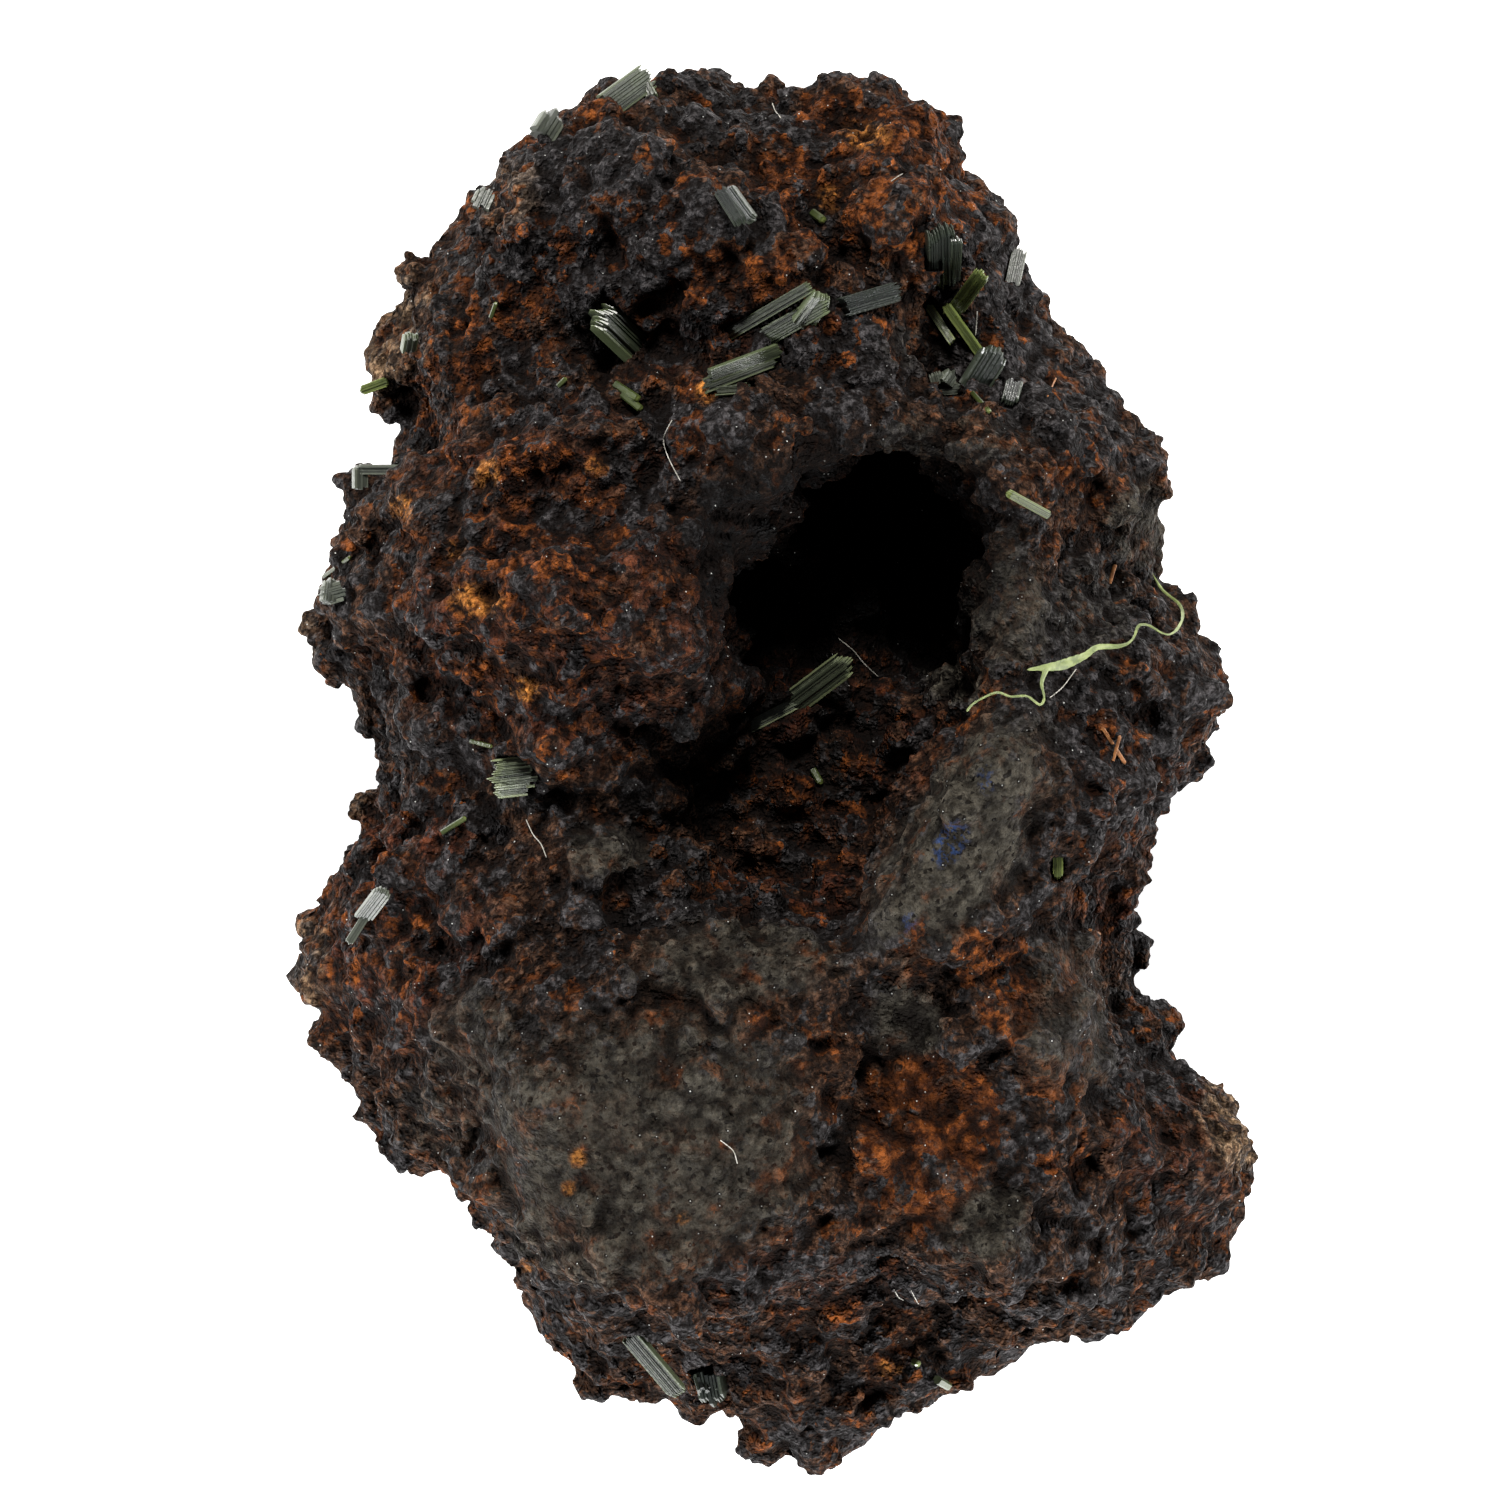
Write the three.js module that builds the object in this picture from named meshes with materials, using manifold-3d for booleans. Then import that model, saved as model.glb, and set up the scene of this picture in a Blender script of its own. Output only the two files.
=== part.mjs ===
// Olivenite crystals on a rough iron oxide matrix, a hand-size specimen that lies on its back.
// Units are millimetres. X runs across the specimen, Y along it, Z up from the surface that it lies on.
import * as THREE from "three";
import { mergeVertices } from "three/addons/utils/BufferGeometryUtils.js";
import Module from "manifold-3d";

const wasm = await Module();
wasm.setup();

const { clamp, lerp, smoothstep, degToRad } = THREE.MathUtils;

// Driving dimensions
const WIDTH = 59.5;
const LENGTH = 85.3;
const HEIGHT = 40;
const GAP = 0.3; // clear space between a crystal and the pocket that it sits in

// How the matrix is faceted
const FRONT_CELL = 1.93; // face size at the top of the front
const BACK_CELL = 2.9; // face size on the back
const MARGIN = 4; // free space around the matrix in the grid
const SOFTENING = 0.22; // how far each point of the grid goes towards its neighbours

// How the matrix is rounded from its outline to the front and to the back
const RIM_SHARE = 0.5; // height of the rim as a share of the front above it
const FRONT_ROUNDING = 5.5;
const BACK_ROUNDING = 15;
const BACK_OVERSHOOT = 2; // how far the back would reach below the flat that it lies on

// The outline seen from above, clockwise from the top tip
const OUTLINE = [
  [-7.2, 42.6], [-4.7, 42.5], [-1.7, 42.2], [-0.8, 41.8], [0.4, 43.2], [1.6, 42.7], [4.1, 41.9],
  [7.5, 41.1], [10.6, 41.0], [11.6, 38.0], [11.7, 35.7], [13.4, 34.4], [14.6, 35.5], [16.0, 33.8],
  [15.0, 32.0], [15.5, 29.4], [15.9, 28.0], [17.8, 25.7], [19.4, 25.1], [20.5, 22.7], [20.6, 20.6],
  [22.5, 20.4], [23.5, 18.8], [23.1, 17.5], [24.2, 15.8], [23.0, 14.5], [21.9, 12.0], [23.8, 10.3],
  [25.8, 9.4], [27.2, 7.3], [28.4, 5.2], [26.6, 3.8], [26.2, 2.4], [25.0, 1.2], [24.8, -1.1],
  [24.0, -3.4], [21.6, -6.7], [22.4, -9.7], [20.8, -10.8], [20.8, -13.2], [22.4, -14.4], [24.6, -17.2],
  [27.9, -19.2], [30.2, -22.3], [28.8, -25.5], [27.4, -28.1], [25.1, -29.7], [22.1, -33.0],
  [18.2, -35.4], [14.5, -35.4], [12.8, -37.1], [9.9, -39.2], [8.9, -39.5], [7.3, -38.8], [5.0, -41.8],
  [2.7, -42.6], [1.2, -42.5], [0.2, -41.2], [-2.2, -39.5], [-4.7, -38.0], [-9.0, -37.8],
  [-13.0, -35.8], [-14.6, -33.4], [-17.4, -28.4], [-18.2, -25.6], [-19.4, -24.0], [-22.9, -23.7],
  [-24.8, -19.8], [-26.6, -16.2], [-30.0, -14.0], [-30.3, -12.0], [-28.1, -6.1], [-26.4, -4.9],
  [-25.2, -1.4], [-23.5, 1.1], [-23.5, 2.2], [-27.3, 6.0], [-28.4, 8.6], [-28.3, 10.6], [-26.5, 12.8],
  [-27.0, 14.4], [-24.9, 18.4], [-22.9, 19.3], [-20.2, 20.6], [-22.6, 22.5], [-26.5, 22.4],
  [-26.4, 25.2], [-24.3, 27.0], [-23.9, 28.6], [-20.4, 31.8], [-18.0, 34.9], [-16.4, 36.6],
  [-16.1, 38.6], [-13.9, 40.7], [-11.2, 41.7], [-8.6, 42.8],
];

// Spot heights of the front: x, y, z
const HEAD_HEIGHTS = [
  [-3.3, 32.1, 31], [-10.5, 34.5, 29], [4.6, 36.3, 29], [9.5, 32.5, 29], [-13, 28.5, 29],
  [-19.6, 28.5, 25], [-23.3, 24.8, 22], [13.7, 28.5, 27], [17.3, 23, 26], [2, 29.5, 29],
  [4.6, 24.8, 30], [-6.5, 38, 27],
];
const TONGUE_HEIGHTS = [
  [-25.1, 13.9, 26], [-19.6, 18.2, 33], [-10.5, 19.8, 35], [-3.3, 20.6, 35], [-13, 12.7, 37],
  [6.4, 20.6, 34], [12.5, 19.5, 34], [17.3, 18.2, 32],
];
const BULGE_HEIGHTS = [
  [-11.8, 7.8, 38.5], [-5.7, 9.1, 37.5], [-19.6, 9.1, 34], [-25.1, 7.8, 26], [-13, 2.4, 35],
  [-20.8, 1.8, 30], [-17.8, -1.6, 27], [-10.5, -1.2, 30], [-5.1, 0.6, 31],
];
const RIGHT_HEIGHTS = [
  [14.3, 10.9, 34], [14.3, 5.4, 35], [21, 15.1, 28], [18.5, 9.1, 28], [22.8, 4.2, 29], [21, -1.8, 30],
  [17.3, 0.6, 36], [13.7, 0.6, 39], [9.5, -4.9, 38], [7.6, -9.7, 36], [17.3, -4.9, 32],
];
const LEFT_HEIGHTS = [
  [-25.1, -5.5, 23], [-22.7, -7.9, 27], [-26.3, -12.8, 21], [-16.6, -6.7, 31], [-19, -14, 32],
  [-21.5, -20, 28], [-10.5, -4.9, 33], [-4, -9, 34],
];
const FACE_HEIGHTS = [
  [-9.3, -11.5, 35], [-2.1, -11.5, 35], [-13, -18.8, 36.5], [-4.5, -23.1, 36.5], [-13, -27.3, 33],
  [-4.5, -30.3, 34], [2.8, -28.5, 34], [16.7, -15.2, 34], [14.3, -27.3, 33], [9, -30, 32],
];
const SPOT_HEIGHTS = [
  ...HEAD_HEIGHTS, ...TONGUE_HEIGHTS, ...BULGE_HEIGHTS, ...RIGHT_HEIGHTS, ...LEFT_HEIGHTS, ...FACE_HEIGHTS,
];
const SPOT_SOFTNESS = 3; // square of the distance over which a spot height is level

// Areas with an edge of their own: the front inside the outline goes to height z over the width of the edge.
const TERRACES = {
  lowerTier: {
    z: 20.5,
    edge: 1.1,
    outline: [
      [-17.8, -28.5], [-13, -31.5], [-8.1, -34], [-3.3, -34], [1.6, -31.5], [5.2, -30], [11.3, -31],
      [17, -33.2], [19, -38], [10, -46], [-10, -46], [-22, -34],
    ],
  },
  trough: {
    z: 25.6,
    edge: 1.5,
    outline: [
      [-17.8, 26.6], [-10.5, 27.9], [-0.8, 26.8], [1, 24.6], [-3.3, 22.6], [-10.5, 21.9],
      [-17.8, 21.8],
    ],
  },
  headLedge: {
    z: 25.5,
    edge: 0.8,
    outline: [[8.1, 29.7], [11.3, 30.3], [14.3, 26.6], [14.9, 22.4], [11.3, 21.7], [8.1, 23]],
  },
  vug: {
    z: 21,
    edge: 1.9,
    outline: [
      [-2.1, 12.7], [1, 16.3], [4.6, 18], [10.1, 16.9], [11.6, 12.7], [11, 7.2], [9.5, 1.8],
      [7.4, -2.5], [4.6, -6.7], [1, -7.9], [-3.9, -6.7], [-5.7, -3.1], [-4.5, 0.6], [-1.5, 4.8],
      [-1.8, 9.1],
    ],
  },
  step: {
    z: 32,
    edge: 0.8,
    outline: [
      [-0.2, -18.5], [1.6, -20.6], [4, -23.7], [4.6, -27.2], [12.5, -28.6], [15.5, -24.9],
      [14.3, -17.6], [7.6, -17.2],
    ],
  },
  pocket: {
    z: 27.5,
    edge: 0.5,
    outline: [[5.1, -12.9], [10.4, -13.2], [9.2, -15.8], [7.3, -17.7], [5.7, -16.4]],
  },
  rightMass: {
    z: 24,
    edge: 2.1,
    outline: [
      [20.6, -10.5], [20.4, -17], [19.2, -21.8], [18.2, -27.3], [17, -34], [22, -40], [34, -30],
      [34, -10.5],
    ],
  },
};

// Knobs and pits: x, y, half width, half length, rise (a pit's is below zero)
const KNOBS = [
  [-7.4, 14.2, 1.7, 1.7, 1.8], [22.2, 19.4, 1.9, 1.7, 2.5], [-9.9, -4.9, 2.6, 2, 2],
  [27, 6, 1.8, 2, 3], [26, 2.6, 1.7, 1.7, 3], [22.9, -22.2, 1.7, 1.7, 2.2], [13.7, 8.5, 2.4, 2.2, 2.2],
  [14.9, 12.7, 2.2, 2, 2], [-22.4, 15.7, 1.6, 1.6, 1.4], [10.3, 5.6, 1.8, 1.6, 5],
  [21.6, 15.8, 2.4, 1.7, 2], [-27, -10.5, 2, 3, 2], [-3.8, -37.2, 1.8, 1.9, 1.5],
  [3, -40, 2.8, 2.4, 2], [9.4, -37.8, 2, 1.6, 1.5], [24.5, -17.5, 2, 1.8, 2],
  [27, -23.5, 2.2, 2.4, 2.4], [20.5, -30, 2.2, 1.8, 2], [-16, 33, 2.2, 1.8, 1.8],
  [5.5, 33, 2, 1.8, 1.6], [-8, 29.8, 2, 1.7, 1.6], [13, 32, 1.8, 2, 2], [18.6, 21.4, 1.7, 1.8, 1.8],
  [-18, 24.6, 1.7, 1.7, 1.6], [-21, -12, 2.4, 1.8, 1.4], [-24, -17.5, 1.8, 2, 1.6],
  [0.6, -3, 1.9, 1.7, 2.2], [-2.6, 3.2, 1.7, 1.7, 1.8],
];
const PITS = [
  [1.6, 33.6, 2.2, 1.8, -4], [-11.6, 31.7, 1.9, 1.8, -3], [-16, 25.9, 1.9, 1.8, -3],
  [-6.9, 22.4, 2.2, 1.7, -4], [7, 14.6, 3.9, 3.2, -7], [1.4, 7.4, 1.9, 2.2, -5],
  [20.2, -7.2, 2.5, 2, -8], [22.5, -19.8, 2, 1.6, -3], [-20.6, 5.6, 1.9, 1.7, -2.4],
  [17.6, 13, 1.9, 2, -3.4], [-15, -34, 1.8, 1.8, -2], [13, -33.6, 2, 1.8, -2.5],
  [4.4, 38, 1.8, 1.8, -2.4], [-2.2, 36.4, 1.8, 1.8, -2.2], [-23, 0.6, 1.8, 1.8, -2.4],
  [19, 3.4, 1.9, 2.2, -2.6],
];

// Ridges and grooves along a line of points: half width, rise (a groove's is below zero), points
const RIDGES = [
  [1.8, 1.6, [[-27, 13], [-23, 16.6], [-17, 19.2], [-10.5, 20.6], [-3, 21.6], [3, 21]]],
  [1.3, -3, [[-25, 12.2], [-20, 15], [-14, 16.9], [-7, 18]]],
  [1.6, 1.2, [[-20.2, 9.4], [-16.6, 11.8], [-13, 12.8], [-7, 12.6]]],
  [1.1, -2.2, [[-22.6, 10.6], [-16.6, 14.1], [-10.4, 15.4]]],
  [1.4, 1.2, [[-22.7, 3.6], [-17.8, 4.6], [-13, 4.2], [-6.5, 4.4]]],
  [1.1, -2.2, [[-23.5, 6.6], [-18.4, 7.4], [-14.4, 6.2], [-10, 5.8]]],
  [1.3, -4.5, [[8.9, 30], [8.8, 26.5], [9.2, 22.6]]],
  [1.0, -2.4, [[-10.6, -7.4], [-10.2, -9.4], [-8.8, -9.4], [-8.6, -7]]],
  [0.9, -1.3, [[-4.4, -18.3], [-3.6, -20], [-4.2, -22]]],
  [1.6, 1.6, [[7.6, 20.6], [12.8, 18.2], [14.4, 15.8]]],
  [1.2, -2.4, [[18.4, 17.6], [17.8, 14.4], [19.6, 11.6]]],
  [1.2, -3, [[19.4, 12.6], [21.6, 10.4], [23.6, 11.4]]],
  [1.1, -2.2, [[27.4, -27.6], [21.6, -32], [16.6, -35]]],
  [1.1, -2, [[25.6, -26], [20.4, -28.6], [16.8, -31.6]]],
  [1.2, -2, [[-27.6, -13.4], [-23.4, -14.6], [-20.6, -17.6]]],
  [1.2, -1.8, [[-4.6, 40], [-1.8, 36.4], [4.6, 34]]],
];

// Hollows that reach under the front: centre and half sizes
const HOLLOWS = [
  { at: [6.6, 16.6, 18.5], size: [4.6, 4.2, 5.5] },
  { at: [9.4, 9.4, 20.5], size: [3.8, 4.6, 4.5] },
  { at: [-2.6, 10.6, 21], size: [3, 3.6, 4] },
];

// Areas that stay smooth: centre, half sizes, turn in degrees
const SMOOTH_AREAS = [
  { at: [-6, -21], size: [13, 9.5], turn: 10 },
  { at: [12, -3], size: [4, 8.5], turn: -32 },
  { at: [16, -15], size: [5, 6.5], turn: 0 },
  { at: [9, -22.5], size: [6, 5.5], turn: 0 },
];

// Lumps of the rough areas: each layer is round on top, with a crease between its lumps
const LUMPS = [
  { wave: 7, depth: 2.9, seed: 3 },
  { wave: 4.4, depth: 2.4, seed: 7 },
];
const LUMP_LEVEL = 0.45; // the part of a layer's depth that lies below the mean surface
const SMOOTH_SHARE = 0.25; // how much of the lumps stays in a smooth area
const RIM_LUMPS = 0.7; // how much of the lumps shows in the outline
const WARP = { wave: 5, depth: 0.8, seed: 21 };
const BACK_LUMPS = { wave: 11, depth: 2.2, seed: 33 };

// A repeatable value from -1 to 1 for each point of a unit lattice
function latticeValue(i, j, k, seed) {
  let hash = Math.imul(i, 374761393) + Math.imul(j, 668265263);
  hash += Math.imul(k, 1442695041) + Math.imul(seed, 974711);
  hash = Math.imul(hash ^ (hash >>> 13), 1274126177);
  hash = Math.imul(hash ^ (hash >>> 16), 668265263);
  return ((hash ^ (hash >>> 15)) >>> 0) / 2147483648 - 1;
}

// Smooth noise between the lattice values
function noise(x, y, z, seed) {
  const i = Math.floor(x);
  const j = Math.floor(y);
  const k = Math.floor(z);
  const u = smoothstep(x - i, 0, 1);
  const v = smoothstep(y - j, 0, 1);
  const w = smoothstep(z - k, 0, 1);
  const along = (b, c) => lerp(latticeValue(i, b, c, seed), latticeValue(i + 1, b, c, seed), u);
  return lerp(lerp(along(j, k), along(j + 1, k), v), lerp(along(j, k + 1), along(j + 1, k + 1), v), w);
}

// Distance from a point to a line of points, which may be closed
function distanceToLine(line, x, y, closed) {
  let nearest = Infinity;
  for (let i = closed ? 0 : 1; i < line.length; i++) {
    const [ax, ay] = line[(i + line.length - 1) % line.length];
    const [bx, by] = line[i];
    const ex = bx - ax;
    const ey = by - ay;
    const along = clamp(((x - ax) * ex + (y - ay) * ey) / (ex * ex + ey * ey), 0, 1);
    nearest = Math.min(nearest, Math.hypot(x - ax - along * ex, y - ay - along * ey));
  }
  return nearest;
}

// Distance to a closed outline, above zero inside it
function depthInside(outline, x, y) {
  let inside = false;
  outline.forEach(([bx, by], i) => {
    const [ax, ay] = outline[(i + outline.length - 1) % outline.length];
    if (ay > y !== by > y && x < ((bx - ax) * (y - ay)) / (by - ay) + ax) inside = !inside;
  });
  const distance = distanceToLine(outline, x, y, true);
  return inside ? distance : -distance;
}

// Distance from the middle of a turned ellipse, 1 on its edge
function ellipseReach(x, y, cx, cy, halfWidth, halfLength, turn) {
  const angle = degToRad(turn);
  const dx = x - cx;
  const dy = y - cy;
  const across = (dx * Math.cos(angle) + dy * Math.sin(angle)) / halfWidth;
  const along = (dy * Math.cos(angle) - dx * Math.sin(angle)) / halfLength;
  return Math.hypot(across, along);
}

// 1 in the middle of a knob or ridge, 0 from 1.5 times its half width outwards
function bell(reach) {
  return 1 - smoothstep(reach, 0.25, 1.5);
}

// The broad height of the front, from the spot heights around a place
function broadHeight(x, y) {
  let sum = 0;
  let weights = 0;
  for (const [sx, sy, height] of SPOT_HEIGHTS) {
    const weight = 1 / ((x - sx) ** 2 + (y - sy) ** 2 + SPOT_SOFTNESS) ** 2;
    sum += weight * height;
    weights += weight;
  }
  return sum / weights;
}

// The height of the front with its terraces, knobs, pits and ridges
function frontHeight(x, y) {
  let height = broadHeight(x, y);
  for (const { z, edge, outline } of Object.values(TERRACES)) {
    height = lerp(height, z, smoothstep(depthInside(outline, x, y), -edge, edge));
  }
  for (const [cx, cy, halfWidth, halfLength, rise] of [...KNOBS, ...PITS]) {
    height += rise * bell(Math.hypot((x - cx) / halfWidth, (y - cy) / halfLength));
  }
  for (const [halfWidth, rise, line] of RIDGES) {
    height += rise * bell(distanceToLine(line, x, y, false) / halfWidth);
  }
  return height;
}

// How rough the front is at a place, 1 where it is granular
function roughness(x, y) {
  let share = 1;
  for (const { at, size, turn } of SMOOTH_AREAS) {
    const reach = ellipseReach(x, y, at[0], at[1], size[0], size[1], turn);
    share = Math.min(share, lerp(SMOOTH_SHARE, 1, smoothstep(reach, 0.8, 1.15)));
  }
  return share;
}

// A quarter round: 0 at the outline, 1 at the rounding's depth and further in
function quarterRound(depth, rounding) {
  const left = 1 - clamp(depth / rounding, 0, 1);
  return Math.sqrt(1 - left * left);
}

// Below zero inside the matrix, roughly the distance to its surface
function matrixField(px, py, pz) {
  const { wave: long, depth: reach, seed: first } = WARP;
  const shift = (seed) => reach * noise(px / long, py / long, pz / long, first + seed);
  const x = px + shift(0);
  const y = py + shift(1);
  const z = pz + shift(2);
  const depth = depthInside(OUTLINE, x, y);
  if (depth < -MARGIN) return MARGIN;
  const height = frontHeight(x, y);
  const rim = height * RIM_SHARE;
  let lumps = 0;
  for (const { wave, depth: amplitude, seed } of LUMPS) {
    lumps += amplitude * (Math.sqrt(Math.abs(noise(x / wave, y / wave, z / wave, seed))) - LUMP_LEVEL);
  }
  lumps *= roughness(x, y);
  const backLumps = BACK_LUMPS.depth * noise(x / BACK_LUMPS.wave, y / BACK_LUMPS.wave, 0, BACK_LUMPS.seed);
  const top = rim + (height - rim) * quarterRound(depth, FRONT_ROUNDING) + lumps;
  const flatShare = quarterRound(depth, BACK_ROUNDING);
  const under = rim - (rim + BACK_OVERSHOOT + backLumps) * flatShare - lumps * (1 - flatShare);
  let field = Math.max(z - top, under - z, -depth - lumps * RIM_LUMPS);
  for (const { at, size } of HOLLOWS) {
    const reach = Math.hypot((x - at[0]) / size[0], (y - at[1]) / size[1], (z - at[2]) / size[2]);
    field = Math.max(field, (1 - reach) * Math.min(...size));
  }
  return field;
}

// The height at which a line straight down from above meets the matrix
function heightBelow(x, y) {
  const step = 0.2;
  for (let z = HEIGHT + MARGIN; z > 0; z -= step) {
    if (matrixField(x, y, z) < 0) return z + step / 2;
  }
  return HEIGHT * RIM_SHARE;
}

// The mean height of the matrix within about a cell, as its softened faces have it
function surfaceHeight(x, y) {
  const reach = FRONT_CELL / 2;
  const places = [[0, 0], [reach, 0], [-reach, 0], [0, reach], [0, -reach]];
  const heights = places.map(([dx, dy]) => heightBelow(x + dx, y + dy));
  return heights.reduce((sum, height) => sum + height, 0) / heights.length;
}

// The levels of the matrix's grid in Z, each with the size of its cells, which open out towards the back
function gridLevels() {
  const levels = [];
  const lowest = -BACK_OVERSHOOT - BACK_LUMPS.depth - WARP.depth;
  let z = HEIGHT + MARGIN;
  while (z > lowest - 2 * BACK_CELL) {
    const cell = lerp(BACK_CELL, FRONT_CELL, clamp(z / HEIGHT, 0, 1));
    levels.push({ z, cell });
    z -= cell;
  }
  return levels.reverse();
}

const CORNERS = [0, 1, 2, 3, 4, 5, 6, 7].map((n) => [n & 1, (n >> 1) & 1, (n >> 2) & 1]);
const CELL_EDGES = CORNERS.flatMap((_, a) => {
  const bits = [1, 2, 4].filter((bit) => !(a & bit));
  return bits.map((bit) => [a, a | bit]);
});

// How many separate groups the corners of one sign make in a cell
function cornerGroups(inside, sign) {
  const group = inside.map((value, n) => (value === sign ? n : -1));
  for (let pass = 0; pass < 4; pass++) {
    for (const [a, b] of CELL_EDGES) {
      if (group[a] < 0 || group[b] < 0) continue;
      group[a] = group[b] = Math.min(group[a], group[b]);
    }
  }
  return new Set(group.filter((n) => n >= 0)).size;
}

// Softens the values between neighbours along each axis, so that no pit is narrower than a cell
function softenValues(values, columns, rows, layers) {
  const steps = [1, columns, columns * rows];
  const counts = [columns, rows, layers];
  for (let axis = 0; axis < 3; axis++) {
    const before = values.slice();
    for (let n = 0; n < values.length; n++) {
      const at = Math.floor(n / steps[axis]) % counts[axis];
      if (at === 0 || at === counts[axis] - 1) continue;
      const sides = before[n - steps[axis]] + before[n + steps[axis]];
      values[n] = lerp(before[n], sides / 2, SOFTENING);
    }
  }
}

// The matrix as one closed faceted surface: one vertex in each cell that the surface crosses
function matrixGeometry() {
  const levels = gridLevels();
  const columns = Math.ceil((WIDTH / 2 + MARGIN) / FRONT_CELL) * 2 + 1;
  const rows = Math.ceil((LENGTH / 2 + MARGIN) / FRONT_CELL) * 2 + 1;
  const index = (i, j, k) => i + columns * (j + rows * k);
  const place = (i, j, k) => {
    const { z, cell } = levels[k];
    return [(i - (columns - 1) / 2) * cell, (j - (rows - 1) / 2) * cell, z];
  };
  const values = new Float64Array(columns * rows * levels.length);
  for (let k = 0; k < levels.length; k++) {
    for (let j = 0; j < rows; j++) {
      for (let i = 0; i < columns; i++) values[index(i, j, k)] = matrixField(...place(i, j, k));
    }
  }
  softenValues(values, columns, rows, levels.length);
  keepOneBody(values, columns, rows, levels.length, index);
  fillAmbiguous(values, columns, rows, levels.length, index);

  // One vertex for each crossed cell, at the mean of its crossings
  const positions = [];
  const vertexOf = new Map();
  forEachCell(columns, rows, levels.length, (i, j, k) => {
    const corners = CORNERS.map(([a, b, c]) => values[index(i + a, j + b, k + c)]);
    if (corners.every((value) => value < 0) || corners.every((value) => value >= 0)) return;
    const mean = new THREE.Vector3();
    let crossings = 0;
    for (const [a, b] of CELL_EDGES) {
      if (corners[a] < 0 === corners[b] < 0) continue;
      const start = new THREE.Vector3(...place(i + CORNERS[a][0], j + CORNERS[a][1], k + CORNERS[a][2]));
      const end = new THREE.Vector3(...place(i + CORNERS[b][0], j + CORNERS[b][1], k + CORNERS[b][2]));
      mean.add(start.lerp(end, corners[a] / (corners[a] - corners[b])));
      crossings += 1;
    }
    vertexOf.set(index(i, j, k), positions.length / 3);
    positions.push(...mean.divideScalar(crossings).toArray());
  });

  // One four-sided face for each grid edge that the surface crosses
  const faces = [];
  const corner = (vertex) => new THREE.Vector3().fromArray(positions, vertex * 3);
  const addFace = (ring) => {
    const [a, b, c, d] = ring;
    const acShorter = corner(a).distanceTo(corner(c)) < corner(b).distanceTo(corner(d));
    faces.push(...(acShorter ? [a, b, c, a, c, d] : [a, b, d, b, c, d]));
  };
  const axes = [[1, 0, 0], [0, 1, 0], [0, 0, 1]];
  forEachCell(columns, rows, levels.length, (i, j, k) => {
    axes.forEach((axis, n) => {
      const here = values[index(i, j, k)] < 0;
      const there = values[index(i + axis[0], j + axis[1], k + axis[2])] < 0;
      if (here === there) return;
      const u = axes[(n + 1) % 3];
      const v = axes[(n + 2) % 3];
      const back = (s, t, c) => s * u[c] + t * v[c];
      const cellAt = (s, t) => vertexOf.get(index(i - back(s, t, 0), j - back(s, t, 1), k - back(s, t, 2)));
      const ring = [cellAt(0, 0), cellAt(1, 0), cellAt(1, 1), cellAt(0, 1)];
      addFace(here ? ring : ring.reverse());
    });
  });
  const geometry = new THREE.BufferGeometry();
  geometry.setAttribute("position", new THREE.Float32BufferAttribute(positions, 3));
  geometry.setIndex(faces);
  return geometry;
}

function forEachCell(columns, rows, levelCount, visit) {
  for (let k = 1; k < levelCount - 1; k++) {
    for (let j = 1; j < rows - 1; j++) {
      for (let i = 1; i < columns - 1; i++) visit(i, j, k);
    }
  }
}

// Drops what isn't joined to the middle of the matrix, and fills what isn't joined to the air around it
function keepOneBody(values, columns, rows, levelCount, index) {
  const neighbours = [1, -1, columns, -columns, columns * rows, -columns * rows];
  const reached = (start, sign) => {
    const seen = new Uint8Array(values.length);
    const queue = [start];
    seen[start] = 1;
    while (queue.length) {
      const here = queue.pop();
      for (const offset of neighbours) {
        const next = here + offset;
        if (next < 0 || next >= values.length || seen[next] || values[next] < 0 !== sign) continue;
        seen[next] = 1;
        queue.push(next);
      }
    }
    return seen;
  };
  const solid = reached(index((columns - 1) / 2, (rows - 1) / 2, Math.floor(levelCount / 3)), true);
  values.forEach((value, n) => {
    if (value < 0 && !solid[n]) values[n] = 0.1;
  });
  const air = reached(0, false);
  values.forEach((value, n) => {
    if (value >= 0 && !air[n]) values[n] = -0.1;
  });
}

// Fills a corner of each cell that two sheets of the surface would share
function fillAmbiguous(values, columns, rows, levelCount, index) {
  let changed = true;
  while (changed) {
    changed = false;
    forEachCell(columns, rows, levelCount, (i, j, k) => {
      const places = CORNERS.map(([a, b, c]) => index(i + a, j + b, k + c));
      const inside = places.map((n) => values[n] < 0);
      if (cornerGroups(inside, true) < 2 && cornerGroups(inside, false) < 2) return;
      const outside = places.filter((n) => values[n] >= 0);
      const lowest = outside.reduce((best, n) => (values[n] < values[best] ? n : best));
      values[lowest] = -0.05;
      changed = true;
    });
  }
}

// A geometry as a manifold-3d solid
function toSolid(geometry) {
  const bare = geometry.clone();
  bare.deleteAttribute("normal");
  bare.deleteAttribute("uv");
  const merged = mergeVertices(bare, 1e-4);
  return new wasm.Manifold(
    new wasm.Mesh({
      numProp: 3,
      vertProperties: new Float32Array(merged.attributes.position.array),
      triVerts: new Uint32Array(merged.index.array),
    }),
  );
}

// A manifold-3d solid as a geometry
function toGeometry(solid) {
  const { vertProperties, triVerts } = solid.getMesh();
  const geometry = new THREE.BufferGeometry();
  geometry.setAttribute("position", new THREE.BufferAttribute(new Float32Array(vertProperties), 3));
  geometry.setIndex(new THREE.BufferAttribute(new Uint32Array(triVerts), 1));
  return geometry;
}

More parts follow.
